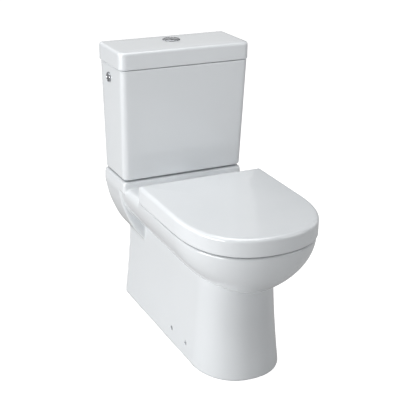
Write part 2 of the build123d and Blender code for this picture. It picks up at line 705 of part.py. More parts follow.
def blanking_cap():
    cap = bar_x(-190, -INLET_SEAT_X, INLET_Y, INLET_Z, 13.3)
    cap = fillet(cap.faces().sort_by(Axis.X)[0].edges(), 2.5)
    return cap + bar_x(-INLET_SEAT_X - 1, -163, INLET_Y, INLET_Z, INLET_THREAD_R)


def blanking_cap_washer():
    disc = bar_x(-174.8, -171.5, INLET_Y, INLET_Z, 14)
    return disc - bar_x(-176, -171, INLET_Y, INLET_Z, INLET_THREAD_R + 0.1)


def blanking_cap_nut():
    hexagon = Rot(0, 90, 0) * extrude(RegularPolygon(13.5, 6), amount=6.5, dir=(0, 0, 1))
    return Pos(-171.5, INLET_Y, INLET_Z) * hexagon - bar_x(-172, -164, INLET_Y, INLET_Z, INLET_THREAD_R + FIT)


# ---------------------------------------------------------------- seat
def cover_wire(z, inset, back):
    """Outline of the seat cover, inset by a distance."""
    return d_wire(z, COVER_HALF - inset, NOSE_Y + inset, COVER_SHOULDER, back,
                  COVER_BACK_HALF - inset, NOSE_FULL)


def at_hinges(shape):
    """Copy of a piece at each hinge, mirrored left to right."""
    return Compound([Pos(side * HINGE_X, HINGE_Y, 0) * (shape if side > 0 else mirror(shape, Plane.YZ))
                     for side in (-1, 1)])


def hinge_lug(x0, x1, y, z0, z1):
    """Barrel on the hinge axis with an arm that runs forward into the cover or the ring."""
    lugs = None
    for side in (-1, 1):
        a = side * (HINGE_X + x0)
        b = side * (HINGE_X + x1)
        near = min(a, b)
        far = max(a, b)
        lug = bar_x(near, far, HINGE_Y, HINGE_Z, HINGE_BARREL_R) + block(near, far, y, HINGE_Y, z0, z1)
        lug -= bar_x(near - 1, far + 1, HINGE_Y, HINGE_Z, HINGE_PIN_R + FIT)
        lugs = lug if lugs is None else lugs + lug
    return lugs


def seat_cover():
    body = prism(cover_wire(COVER_BOTTOM_Z, 0, COVER_BACK), COVER_TOP_Z - COVER_BOTTOM_Z)
    body = fillet(body.faces().sort_by(Axis.Z)[-1].edges(), COVER_EDGE_R)
    body = fillet(body.faces().sort_by(Axis.Z)[0].edges(), 1.5)
    room = prism(cover_wire(COVER_BOTTOM_Z - 1, COVER_SKIN, COVER_BACK - 4), COVER_TOP_Z - COVER_BOTTOM_Z - 5)
    room = fillet(room.faces().sort_by(Axis.Z)[-1].edges(), 5)
    body -= room
    for side in (-1, 1):
        notch = side * (HINGE_X - 3.5)
        body -= block(notch - 17.5, notch + 17.5, COVER_BACK - 5, COVER_BACK + 1, COVER_BOTTOM_Z - 1, 436)
    body += hinge_lug(9, 20, COVER_BACK - 3, HINGE_Z, HINGE_Z + HINGE_BARREL_R)
    return body


def ring_hole_wire(z, grow):
    """Edge of the hole in the seat ring, grown by a distance."""
    return egg_wire(z, RING_HOLE_HALF + grow, RING_HOLE_FRONT - grow, RING_HOLE_BACK + grow, 0.62)


def seat_ring():
    height = RING_TOP_Z - RING_BOTTOM_Z
    body = prism(cover_wire(RING_BOTTOM_Z, RING_INSET, RING_BACK), height)
    body -= prism(ring_hole_wire(RING_BOTTOM_Z - 1, 0), height + 2)
    body = fillet(body.faces().sort_by(Axis.Z)[-1].edges(), 9)
    body = fillet(body.faces().sort_by(Axis.Z)[0].edges(), 3)
    groove = prism(cover_wire(RING_BOTTOM_Z - 1, RING_INSET + RING_WALL, RING_BACK - 12), GROOVE_DEPTH + 1)
    groove -= prism(ring_hole_wire(RING_BOTTOM_Z - 2, RING_WALL), GROOVE_DEPTH + 4)
    body -= groove - pads_under(RING_BOTTOM_Z - 3, RING_TOP_Z, RING_BUFFERS, 13)
    for side in (-1, 1):
        near = min(side * 52, side * 104)
        body -= block(near, near + 52, 74, 90, RING_BOTTOM_Z - 1, RING_TOP_Z + 1)
    body += hinge_lug(-20, -9, 70, HINGE_Z - 8, HINGE_Z + 8)
    return body


def pads_under(z0, z1, spots, radius):
    """Round rubber buffers, one at each spot and its mirror image."""
    return Compound([post(side * x, y, z0, z1, radius) for side in (-1, 1) for x, y in spots])


def hinge_posts():
    """Metal pillar: a stem from the rosette up to an eye round the pin."""
    pillar = post(0, 0, RIM_Z + 4, HINGE_Z, 7.5) + bar_x(-8, 8, 0, HINGE_Z, HINGE_BARREL_R)
    return at_hinges(pillar - bar_x(-9, 9, 0, HINGE_Z, HINGE_PIN_R))


def hinge_rosettes():
    disc = fillet(post(0, 0, RIM_Z, RIM_Z + 4, 22).faces().sort_by(Axis.Z)[-1].edges(), 1.8)
    return at_hinges(disc - post(0, 0, RIM_Z - 1, RIM_Z + 5, 4.1))


def hinge_damper_pins():
    return at_hinges(bar_x(-20.5, 20.5, 0, HINGE_Z, HINGE_PIN_R))


def hinge_bolts():
    return at_hinges(post(0, 0, 348, RIM_Z + 4, 4))


def hinge_washers():
    return at_hinges(pipe(0, 0, 378, 381, 13, 4.2))


def hinge_wing_nuts():
    return at_hinges(wing_nut(367, 378, 8, 4.05, 18, 3.5))


NODES = {
    "cistern_tank": cistern_tank,
    "cistern_lid": cistern_lid,
    "coupling_gasket": coupling_gasket,
    "cistern_pads": cistern_pads,
    "cistern_bolts": cistern_bolts,
    "bolt_cone_washers": bolt_cone_washers,
    "bolt_plate_washers": bolt_plate_washers,
    "cistern_wing_nuts": cistern_wing_nuts,
    "flush_valve_seat": flush_valve_seat,
    "flush_valve_washer": flush_valve_washer,
    "flush_valve_back_nut": flush_valve_back_nut,
    "flush_valve_tower": flush_valve_tower,
    "lift_tube": lift_tube,
    "lift_tube_seal": lift_tube_seal,
    "half_flush_latch": half_flush_latch,
    "full_flush_rocker": lambda: rocker(1),
    "half_flush_rocker": lambda: rocker(-1),
    "rocker_pins": rocker_pins,
    "button_housing": button_housing,
    "button_ring_nut": button_ring_nut,
    "full_flush_button": lambda: button(BUTTON_SPLIT_X, 30, 1),
    "half_flush_button": lambda: button(-30, BUTTON_SPLIT_X - 0.6, -1),
    "full_flush_rod": lambda: push_rod(1),
    "half_flush_rod": lambda: push_rod(-1),
    "full_flush_spring": lambda: button_spring(1),
    "half_flush_spring": lambda: button_spring(-1),
    "fill_valve_body": fill_valve_body,
    "fill_valve_washer": fill_valve_washer,
    "fill_valve_back_nut": fill_valve_back_nut,
    "fill_valve_float": fill_valve_float,
    "fill_valve_lever": fill_valve_lever,
    "fill_lever_pin": fill_lever_pin,
    "discharge_tube": discharge_tube,
    "blanking_cap": blanking_cap,
    "blanking_cap_washer": blanking_cap_washer,
    "blanking_cap_nut": blanking_cap_nut,
    "seat_cover": seat_cover,
    "seat_ring": seat_ring,
    "ring_buffers": lambda: pads_under(RIM_Z, RING_BOTTOM_Z, RING_BUFFERS, 9),
    "cover_buffers": lambda: pads_under(RING_TOP_Z, COVER_TOP_Z - 6, COVER_BUFFERS, 7),
    "hinge_posts": hinge_posts,
    "hinge_rosettes": hinge_rosettes,
    "hinge_damper_pins": hinge_damper_pins,
    "hinge_bolts": hinge_bolts,
    "hinge_washers": hinge_washers,
    "hinge_wing_nuts": hinge_wing_nuts,
}


def main():
    os.makedirs("parts", exist_ok=True)
    sections = pan_sections()
    for name, shape in sections.items():
        save(shape, name)
    for name, make in NODES.items():
        save(make(), name)
    swing = degrees(asin(BUTTON_STROKE / (ROD_X - ROCKER_X)))
    print(f"{len(sections) + len(NODES)} nodes; a rocker swings {swing:.1f} degrees")


main()
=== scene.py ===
import json
import math
from contextlib import contextmanager

import bmesh
import bpy
import numpy as np
from mathutils import Matrix, Vector


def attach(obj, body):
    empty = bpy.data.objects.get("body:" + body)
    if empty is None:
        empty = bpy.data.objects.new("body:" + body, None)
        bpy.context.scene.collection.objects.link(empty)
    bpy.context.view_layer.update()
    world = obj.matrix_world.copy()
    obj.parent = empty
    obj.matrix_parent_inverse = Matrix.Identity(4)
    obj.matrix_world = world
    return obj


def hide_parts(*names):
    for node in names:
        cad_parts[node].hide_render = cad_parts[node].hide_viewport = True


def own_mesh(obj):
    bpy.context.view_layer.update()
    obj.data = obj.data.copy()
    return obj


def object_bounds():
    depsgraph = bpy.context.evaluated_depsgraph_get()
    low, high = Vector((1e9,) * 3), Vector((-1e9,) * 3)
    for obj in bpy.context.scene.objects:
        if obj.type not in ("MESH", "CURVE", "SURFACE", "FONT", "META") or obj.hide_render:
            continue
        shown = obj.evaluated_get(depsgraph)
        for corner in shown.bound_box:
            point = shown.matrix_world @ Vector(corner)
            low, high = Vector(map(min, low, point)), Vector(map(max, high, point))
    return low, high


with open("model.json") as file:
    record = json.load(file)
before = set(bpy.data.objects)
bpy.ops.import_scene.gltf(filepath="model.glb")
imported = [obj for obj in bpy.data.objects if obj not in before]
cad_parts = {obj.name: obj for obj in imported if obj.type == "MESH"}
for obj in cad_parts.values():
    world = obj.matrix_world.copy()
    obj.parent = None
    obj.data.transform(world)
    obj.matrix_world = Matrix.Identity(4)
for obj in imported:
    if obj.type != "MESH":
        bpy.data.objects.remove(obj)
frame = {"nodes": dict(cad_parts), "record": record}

CAD_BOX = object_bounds()
MM = 0.001
ROOT = "pan_and_cistern"


# ---------------------------------------------------------------- camera, light and stage
def make_camera():
    """Stands to the left of the front and a little above, with a long lens."""
    azimuth = math.radians(-25.39)
    elevation = math.radians(21.79)
    roll = math.radians(0.45)
    target = Vector((-0.0429, 0.0, 0.4147))
    back = Vector((math.sin(azimuth) * math.cos(elevation),
                   -math.cos(azimuth) * math.cos(elevation), math.sin(elevation)))
    right = (-back).cross(Vector((0, 0, 1))).normalized()
    up = right.cross(-back)
    across = right * math.cos(roll) + up * math.sin(roll)
    upward = up * math.cos(roll) - right * math.sin(roll)
    camera = bpy.data.objects.new("camera", bpy.data.cameras.new("camera"))
    camera.data.sensor_width = 36.0
    camera.data.lens = 81.2
    distance = 2.3653
    place = target + back * distance
    camera.matrix_world = Matrix(((across.x, upward.x, back.x, place.x),
                                  (across.y, upward.y, back.y, place.y),
                                  (across.z, upward.z, back.z, place.z),
                                  (0, 0, 0, 1)))
    bpy.context.scene.collection.objects.link(camera)
    bpy.context.scene.camera = camera


def add_area(name, place, aim, size, power):
    """Soft rectangular lamp aimed at a point."""
    data = bpy.data.lights.new(name, "AREA")
    data.shape = "RECTANGLE"
    data.size, data.size_y = size
    data.energy = power
    lamp = bpy.data.objects.new(name, data)
    lamp.location = place
    lamp.visible_camera = False
    lamp.rotation_euler = (Vector(aim) - Vector(place)).to_track_quat("-Z", "Y").to_euler()
    bpy.context.scene.collection.objects.link(lamp)


def make_light():
    scene = bpy.context.scene
    scene.view_settings.view_transform = "Standard"
    world = bpy.data.worlds.new("studio")
    scene.world = world
    world.use_nodes = True
    nodes = world.node_tree.nodes
    links = world.node_tree.links
    glow = nodes["Background"]
    glow.inputs["Color"].default_value = (0.96, 0.98, 1.0, 1)
    glow.inputs["Strength"].default_value = 0.14
    paper = nodes.new("ShaderNodeBackground")
    paper.inputs["Color"].default_value = (1, 1, 1, 1)
    paper.inputs["Strength"].default_value = 1.0
    seen = nodes.new("ShaderNodeLightPath")
    mix = nodes.new("ShaderNodeMixShader")
    links.new(seen.outputs["Is Camera Ray"], mix.inputs[0])
    links.new(glow.outputs[0], mix.inputs[1])
    links.new(paper.outputs[0], mix.inputs[2])
    links.new(mix.outputs[0], nodes["World Output"].inputs["Surface"])
    add_area("left_low", (-3.0, -0.6, 0.5), (0, 0, 0.3), (2.4, 0.8), 66.0)
    add_area("left_back", (-2.6, 2.0, 1.6), (0, 0, 0.4), (1.8, 2.0), 21.0)
    add_area("top", (-0.2, -0.3, 3.2), (0, 0, 0.3), (2.6, 2.6), 69.0)
    add_area("right_front", (2.4, -2.4, 1.4), (0, 0, 0.4), (1.8, 2.2), 18.5)
    add_area("right", (3.0, 0.2, 1.3), (0, 0, 0.4), (2.0, 2.0), 5.0)
    add_area("back", (0.4, 3.4, 1.7), (0, 0, 0.5), (3.0, 1.6), 7.0)


def make_floor():
    mesh = bpy.data.meshes.new("floor")
    reach = 14.0
    level = CAD_BOX[0][2] - 0.0005
    mesh.from_pydata([(-reach, -reach, level), (reach, -reach, level),
                      (reach, reach, level), (-reach, reach, level)], [], [(0, 1, 2, 3)])
    floor = bpy.data.objects.new("floor", mesh)
    bpy.context.scene.collection.objects.link(floor)
    material = bpy.data.materials.new("stage_paper")
    material.use_nodes = True
    nodes = material.node_tree.nodes
    links = material.node_tree.links
    shader = nodes["Principled BSDF"]
    shader.inputs["Base Color"].default_value = (0.28, 0.28, 0.28, 1)
    shader.inputs["Roughness"].default_value = 0.9
    shader.inputs["Specular IOR Level"].default_value = 0.0
    shader.inputs["Emission Color"].default_value = (1, 1, 1, 1)
    shader.inputs["Emission Strength"].default_value = 0.2
    glow = nodes.new("ShaderNodeEmission")
    glow.inputs["Strength"].default_value = 0.84
    none = nodes.new("ShaderNodeEmission")
    none.inputs["Strength"].default_value = 0.0
    seen = nodes.new("ShaderNodeLightPath")
    pick = nodes.new("ShaderNodeMixShader")
    both = nodes.new("ShaderNodeAddShader")
    links.new(seen.outputs["Is Camera Ray"], pick.inputs[0])
    links.new(none.outputs[0], pick.inputs[1])
    links.new(glow.outputs[0], pick.inputs[2])
    links.new(shader.outputs[0], both.inputs[0])
    links.new(pick.outputs[0], both.inputs[1])
    links.new(both.outputs[0], nodes["Material Output"].inputs["Surface"])
    mesh.materials.append(material)


# ---------------------------------------------------------------- materials
class Look:
    """A procedural material built node by node."""

    def __init__(self, name, roughness=0.4, metallic=0.0, coat=0.0, coat_roughness=0.03, ior=1.5):
        self.material = bpy.data.materials.new(name)
        self.material.use_nodes = True
        self.nodes = self.material.node_tree.nodes
        self.links = self.material.node_tree.links
        self.shader = self.nodes["Principled BSDF"]
        self.shader.inputs["Roughness"].default_value = roughness
        self.shader.inputs["Metallic"].default_value = metallic
        self.shader.inputs["Coat Weight"].default_value = coat
        self.shader.inputs["Coat Roughness"].default_value = coat_roughness
        self.shader.inputs["IOR"].default_value = ior
        self.coords = self.nodes.new("ShaderNodeTexCoord").outputs["Object"]

    def noise(self, scale, detail=3.0, roughness=0.5, stretch=None):
        """Noise over the object's own space."""
        node = self.nodes.new("ShaderNodeTexNoise")
        node.inputs["Scale"].default_value = scale
        node.inputs["Detail"].default_value = detail
        node.inputs["Roughness"].default_value = roughness
        source = self.coords
        if stretch:
            mapping = self.nodes.new("ShaderNodeMapping")
            mapping.inputs["Scale"].default_value = stretch
            self.links.new(self.coords, mapping.inputs["Vector"])
            source = mapping.outputs["Vector"]
        self.links.new(source, node.inputs["Vector"])
        return node.outputs["Fac"]

    def ramp(self, value, stops):
        """Colour ramp of (position, colour) stops."""
        node = self.nodes.new("ShaderNodeValToRGB")
        band = node.color_ramp
        while len(band.elements) < len(stops):
            band.elements.new(0.5)
        for element, (place, colour) in zip(band.elements, stops):
            element.position = place
            element.color = (*colour, 1)
        self.links.new(value, node.inputs["Fac"])
        return node.outputs["Color"]

    def between(self, value, low, high):
        """Map a 0 to 1 value into a range."""
        node = self.nodes.new("ShaderNodeMapRange")
        node.inputs["To Min"].default_value = low
        node.inputs["To Max"].default_value = high
        self.links.new(value, node.inputs["Value"])
        return node.outputs["Result"]

    def colour(self, value):
        """Drive the base colour."""
        self.links.new(value, self.shader.inputs["Base Color"])

    def rough(self, value):
        """Drive the roughness."""
        self.links.new(value, self.shader.inputs["Roughness"])

    def bump(self, value, strength, distance, coat_too=False):
        """Drive the surface relief, and the coat's when asked."""
        node = self.nodes.new("ShaderNodeBump")
        node.inputs["Strength"].default_value = strength
        node.inputs["Distance"].default_value = distance
        self.links.new(value, node.inputs["Height"])
        self.links.new(node.outputs["Normal"], self.shader.inputs["Normal"])
        if coat_too:
            self.links.new(node.outputs["Normal"], self.shader.inputs["Coat Normal"])


def ceramic_look():
    """White vitreous china under a clear glaze: faint pooling and a very slight ripple."""
    look = Look("glazed_china", roughness=0.28, coat=1.0, coat_roughness=0.035, ior=1.52)
    cloud = look.noise(7.0, 2.0)
    look.colour(look.ramp(cloud, [(0.25, (0.775, 0.801, 0.821)), (0.75, (0.788, 0.812, 0.832))]))
    look.rough(look.between(look.noise(22.0, 2.0), 0.28, 0.32))
    look.bump(look.noise(9.0, 1.0, 0.3), 0.03, 0.0005, coat_too=True)
    return look.material


def seat_look():
    """White thermoset: slightly warmer and a little less sharp than the glaze."""
    look = Look("white_thermoset", roughness=0.22, coat=0.6, coat_roughness=0.06, ior=1.48)
    cloud = look.noise(9.0, 3.0)
    look.colour(look.ramp(cloud, [(0.25, (0.77, 0.797, 0.818)), (0.75, (0.795, 0.818, 0.838))]))
    look.rough(look.between(look.noise(60.0, 3.0), 0.18, 0.265))
    look.bump(look.noise(420.0, 2.0), 0.04, 0.00012)
    return look.material


def chrome_look():
    """Polished plating with faint smears."""
    look = Look("polished_chrome", roughness=0.07, metallic=1.0)
    smear = look.noise(180.0, 4.0, 0.6, stretch=(1, 1, 0.3))
    look.colour(look.ramp(smear, [(0.3, (0.40, 0.41, 0.43)), (0.7, (0.50, 0.51, 0.53))]))
    look.rough(look.between(smear, 0.04, 0.13))
    look.bump(look.noise(700.0, 2.0), 0.02, 0.0001)
    return look.material


def steel_look():
    """Brushed stainless steel."""
    look = Look("stainless_steel", roughness=0.3, metallic=1.0)
    grain = look.noise(260.0, 5.0, 0.7, stretch=(1, 1, 0.06))
    look.colour(look.ramp(grain, [(0.3, (0.42, 0.42, 0.43)), (0.7, (0.60, 0.60, 0.61))]))
    look.rough(look.between(grain, 0.28, 0.42))
    look.bump(grain, 0.15, 0.0001)
    return look.material


def plastic_look(name, dark, light, roughness=0.38, grain=900.0):
    """Moulded plastic with a fine texture and a slight colour drift."""
    look = Look(name, roughness=roughness, ior=1.47)
    drift = look.noise(30.0, 3.0)
    look.colour(look.ramp(drift, [(0.3, dark), (0.7, light)]))
    look.rough(look.between(look.noise(140.0, 3.0), roughness - 0.06, roughness + 0.1))
    look.bump(look.noise(grain, 2.0), 0.12, 0.0001)
    return look.material


def rubber_look(name, dark, light):
    """Matte elastomer with a dusty bloom."""
    look = Look(name, roughness=0.75, ior=1.45)
    bloom = look.noise(120.0, 5.0, 0.65)
    look.colour(look.ramp(bloom, [(0.35, dark), (0.75, light)]))
    look.rough(look.between(bloom, 0.62, 0.88))
    look.bump(look.noise(1400.0, 3.0), 0.2, 0.00015)
    return look.material


def foam_look():
    """Closed cell foam: small cells in a dark sheet."""
    look = Look("cell_foam", roughness=0.9, ior=1.4)
    cells = look.nodes.new("ShaderNodeTexVoronoi")
    cells.inputs["Scale"].default_value = 900.0
    look.links.new(look.coords, cells.inputs["Vector"])
    look.colour(look.ramp(cells.outputs["Distance"],
                          [(0.1, (0.02, 0.02, 0.022)), (0.6, (0.055, 0.055, 0.06))]))
    look.bump(cells.outputs["Distance"], 0.5, 0.0004)
    return look.material


LOOKS = {
    "ceramic": ceramic_look(),
    "seat_plastic": seat_look(),
    "chrome": chrome_look(),
    "steel": steel_look(),
    "grey_rubber": rubber_look("grey_rubber_bloom", (0.03, 0.03, 0.032), (0.065, 0.065, 0.07)),
    "clear_rubber": rubber_look("pale_rubber", (0.52, 0.53, 0.53), (0.66, 0.67, 0.67)),
    "foam": foam_look(),
    "white_plastic": plastic_look("white_moulding", (0.70, 0.71, 0.71), (0.78, 0.785, 0.78)),
    "grey_plastic": plastic_look("grey_moulding", (0.13, 0.135, 0.145), (0.18, 0.185, 0.195)),
    "blue_plastic": plastic_look("blue_moulding", (0.02, 0.10, 0.34), (0.03, 0.14, 0.42)),
}


# ---------------------------------------------------------------- mesh tools
def make_piece(name, points, faces, body, slot, replaced=()):
    """Mesh object that rides a body, takes a slot's look and stands for CAD nodes."""
    mesh = bpy.data.meshes.new(name)
    mesh.from_pydata([tuple(p) for p in points], [], [tuple(f) for f in faces])
    mesh.validate()
    piece = bpy.data.objects.new(name, mesh)
    bpy.context.scene.collection.objects.link(piece)
    mesh.materials.append(LOOKS[slot])
    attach(piece, body)
    if replaced:
        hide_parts(*replaced)
    mesh.shade_smooth()
    return piece


class Parts:
    """Collects rings of quads into one mesh."""

    def __init__(self):
        self.points = []
        self.faces = []

    def ring(self, points):
        """Add a loop of points and return their indices."""
        start = len(self.points)
        self.points.extend(points)
        return list(range(start, start + len(points)))

    def bridge(self, lower, upper, closed=True):
        """Quads between two loops with as many points each."""
        count = len(lower)
        for i in range(count if closed else count - 1):
            j = (i + 1) % count
            self.faces.append((lower[i], lower[j], upper[j], upper[i]))

    def skin(self, rings, closed=False):
        """Bridge each loop to the next, and the last to the first when closed."""
        for lower, upper in zip(rings, rings[1:] + (rings[:1] if closed else [])):
            self.bridge(lower, upper)

    def add_mesh(self, points, faces):
        """Add another mesh's points and faces."""
        start = len(self.points)
        self.points.extend(points)
        self.faces.extend(tuple(i + start for i in face) for face in faces)


def arc(centre, radius, first, last, steps):
    """Points of an arc in a plane, angles in degrees, both ends included."""
    return [(centre[0] + radius * math.cos(math.radians(first + (last - first) * i / steps)),
             centre[1] + radius * math.sin(math.radians(first + (last - first) * i / steps)))
            for i in range(steps + 1)]


def lathe(profile, centre, axis="Z", segments=64):
    """Closed surface of revolution. The profile is a closed loop, or starts and ends on the axis."""
    parts = Parts()
    turn = {"Z": lambda r, h, c, s: (r * c, r * s, h),
            "X": lambda r, h, c, s: (h, r * c, r * s),
            "Y": lambda r, h, c, s: (r * s, h, r * c)}[axis]
    rings = []
    for r, h in profile:
        if r < 1e-7:
            x, y, z = turn(0, h, 1, 0)
            rings.append(parts.ring([(centre[0] + x, centre[1] + y, centre[2] + z)]))
            continue
        loop = []
        for i in range(segments):
            angle = 2 * math.pi * i / segments
            x, y, z = turn(r, h, math.cos(angle), math.sin(angle))
            loop.append((centre[0] + x, centre[1] + y, centre[2] + z))
        rings.append(parts.ring(loop))
    pairs = list(zip(rings, rings[1:]))
    if len(rings[0]) > 1:
        pairs.append((rings[-1], rings[0]))
    for low, high in pairs:
        if len(low) == 1 and len(high) > 1:
            parts.faces.extend((low[0], high[(i + 1) % segments], high[i]) for i in range(segments))
        elif len(high) == 1 and len(low) > 1:
            parts.faces.extend((high[0], low[i], low[(i + 1) % segments]) for i in range(segments))
        elif len(low) > 1:
            parts.bridge(low, high)
    return parts


def add_turned(parts, profile, centre, axis, segments):
    """Add a surface of revolution to some parts, its profile and centre in millimetres."""
    one = lathe([(r * MM, h * MM) for r, h in profile], [c * MM for c in centre], axis, segments)
    parts.add_mesh(one.points, one.faces)


def add_plug(parts, radius, low, high, centre, axis, segments):
    """Add a cylinder between two positions on its axis, in millimetres."""
    add_turned(parts, [(0, low), (radius, low), (radius, high), (0, high)], centre, axis, segments)


def add_prism(parts, first, last):
    """Add a closed prism between two loops of points in millimetres."""
    ends = [parts.ring([(x * MM, y * MM, z * MM) for x, y, z in loop]) for loop in (first, last)]
    parts.bridge(*ends)
    parts.faces.extend([tuple(ends[0]), tuple(reversed(ends[1]))])


def quarter(radius, angles, height=None):
    """Inset and rise along a quarter round: no inset at 0 degrees, all of it at 90."""
    height = radius if height is None else height
    return [(radius - radius * math.cos(math.radians(a)), height * math.sin(math.radians(a)))
            for a in angles]


@contextmanager
def editing(mesh):
    """Open a mesh for editing and store the result."""
    work = bmesh.new()
    work.from_mesh(mesh)
    yield work
    work.to_mesh(mesh)
    work.free()


def mark_sharp(work, degrees):
    """Mark edges sharper than an angle so that flat faces stay flat in shading."""
    limit = math.radians(degrees)
    for edge in work.edges:
        edge.smooth = not (len(edge.link_faces) == 2 and edge.calc_face_angle(0) > limit)


def fix_normals(piece):
    """Point every face outwards."""
    with editing(piece.data) as work:
        bmesh.ops.remove_doubles(work, verts=work.verts, dist=1e-6)
        bmesh.ops.recalc_face_normals(work, faces=work.faces)
    piece.data.shade_smooth()


def sharpen(piece, degrees):
    """Mark a piece's sharp edges."""
    with editing(piece.data) as work:
        mark_sharp(work, degrees)


def cut(piece, cutter_parts):
    """Boolean difference with a closed cutter, applied to the mesh."""
    mesh = bpy.data.meshes.new("cutter")
    mesh.from_pydata(cutter_parts.points, [], cutter_parts.faces)
    cutter = bpy.data.objects.new("cutter", mesh)
    bpy.context.scene.collection.objects.link(cutter)
    with editing(mesh) as work:
        bmesh.ops.recalc_face_normals(work, faces=work.faces)
    tool = piece.modifiers.new("cut", "BOOLEAN")
    tool.operation = "DIFFERENCE"
    tool.solver = "EXACT"
    tool.object = cutter
    graph = bpy.context.evaluated_depsgraph_get()
    result = bpy.data.meshes.new_from_object(piece.evaluated_get(graph))
    piece.modifiers.remove(tool)
    old = piece.data
    piece.data = result
    bpy.data.meshes.remove(old)
    bpy.data.objects.remove(cutter)
    bpy.data.meshes.remove(mesh)
    piece.data.shade_smooth()


# ---------------------------------------------------------------- implicit solid of the pan, in millimetres
RIM_Z = 395.0
PLATFORM_Z = 415.0
PLATFORM_FRONT = 197.0
SHOULDER_FRONT = 232.0
WALL_Y = 350.0
VALVE_Y = 283.0                    # flush valve, split button and their holes
ROD_X = 12.0                       # push rods, either side of the middle
BOLT_X, BOLT_Y = 80.0, 275.0       # bolts that hold the cistern to the pan
HINGE_X, HINGE_Y, HINGE_Z = 78.0, 104.0, 417.0
LUG_RADIUS, PIN_BORE = 10.5, 6.05
SIDE_HOLE = (0.0, 278.0, 695.0)    # axis of the inlet and the blanking cap
TANK_FOOT, TANK_MOUTH = 419.0, 730.0
LID_TOP = 780.0
PLINTH_TOP = 340.0
CHINA = 11.0


def blend_max(a, b, k):
    """Larger of two fields with a rounded edge where they meet."""
    h = np.maximum(k - np.abs(a - b), 0.0) / k
    return np.maximum(a, b) + h * h * k * 0.25


def blend_min(a, b, k):
    """Smaller of two fields with a fillet where they meet."""
    return -blend_max(-a, -b, k)


def smooth_table(z, heights, values):
    """Smooth curve through a few heights, flat beyond the ends (cubic Hermite, monotone slopes)."""
    h = np.asarray(heights, float)
    v = np.asarray(values, float)
    slope = np.diff(v) / np.diff(h)
    tangent = np.zeros_like(v)
    tangent[1:-1] = np.where(slope[1:] * slope[:-1] > 0, (slope[1:] + slope[:-1]) / 2, 0)
    tangent[0], tangent[-1] = slope[0], slope[-1]
    z = np.clip(z, h[0], h[-1])
    i = np.clip(np.searchsorted(h, z) - 1, 0, len(h) - 2)
    step = h[i + 1] - h[i]
    t = (z - h[i]) / step
    return ((1 + 2 * t) * (1 - t) ** 2 * v[i] + t * (1 - t) ** 2 * step * tangent[i]
            + t * t * (3 - 2 * t) * v[i + 1] - t * t * (1 - t) * step * tangent[i + 1])


def curve_field(x, half, s, reach, power):
    """Roughly the distance outside a rounded outline, and the share of it that faces sideways."""
    t = np.abs(x) / half
    q = np.maximum((t ** power + s ** power) ** (1 / power), 1e-6)
    slope = q ** (1 - power) * np.sqrt((t ** (power - 1) / half) ** 2 + (s ** (power - 1) / reach) ** 2)
    return (q - 1) / np.maximum(slope, 1e-4), t ** power / q ** power


def d_field(x, y, half, front, shoulder, power):
    """Distance outside a D: straight sides, rounded nose."""
    depth = shoulder - front
    return curve_field(x, half, np.maximum(shoulder - y, 0.0) / depth, depth, power)


def oval_field(x, y, half, front, back, power):
    """Distance outside an oval."""
    reach = (back - front) / 2
    return curve_field(x, half, np.abs(y - (front + back) / 2) / reach, reach, power)[0]


def belly_field(x, y, z):
    """Bowl outside, curving in under the rim."""
    zc = np.clip(z, 250.0, RIM_Z)
    u = (RIM_Z - zc) / 182.2
    w = (RIM_Z - zc) / 164.5
    front = -346.0 + 222.2 * (1 - (1 - u ** 1.82) ** (1 / 1.82))
    half = 178.4 - 210.3 * (1 - (1 - w ** 2.03) ** (1 / 2.03))
    lean_front = 222.2 / 182.2 * u ** 0.82 * (1 - u ** 1.82) ** (1 / 1.82 - 1)
    lean_side = 210.3 / 164.5 * w ** 1.03 * (1 - w ** 2.03) ** (1 / 2.03 - 1)
    shoulder = -130.0 + 0.35 * (front + 346.0)
    flat, side = d_field(x, y, half, front, shoulder, 2.37)
    lean = side * lean_side + (1 - side) * lean_front
    body = flat / np.sqrt(1 + lean * lean)
    return blend_max(body, 248.0 - z, 6.0)


def plinth_field(x, y, z, inset):
    """Plinth outside, or its inner wall when inset."""
    flare = np.clip(1 - z / 300.0, 0.0, 1.0) ** 1.7
    half = 102.0 + 17.5 * flare - inset
    front = -217.0 - 29.0 * flare + inset
    spread = 8.5 * (0.45 + 0.55 * flare) * np.clip((y + 108.0) / (WALL_Y + 108.0), 0.0, 1.0)
    return d_field(np.maximum(np.abs(x) - spread, 0.0), y, half, front, -108.0, 2.2)[0]


def shoulder_half(z, inset):
    """Half width of the shoulders at height z."""
    return smooth_table(z, (170.0, 212.0, 253.0, 292.0, 330.0, 360.0, 386.0, 405.0, 415.0),
                        (66.0, 104.0, 136.0, 156.5, 171.0, 178.0, 182.0, 180.6, 180.0)) - inset


def shoulder_lean(z):
    """How much the shoulder's side slopes at height z."""
    return (shoulder_half(z + 2.0, 0.0) - shoulder_half(z - 2.0, 0.0)) / 4.0


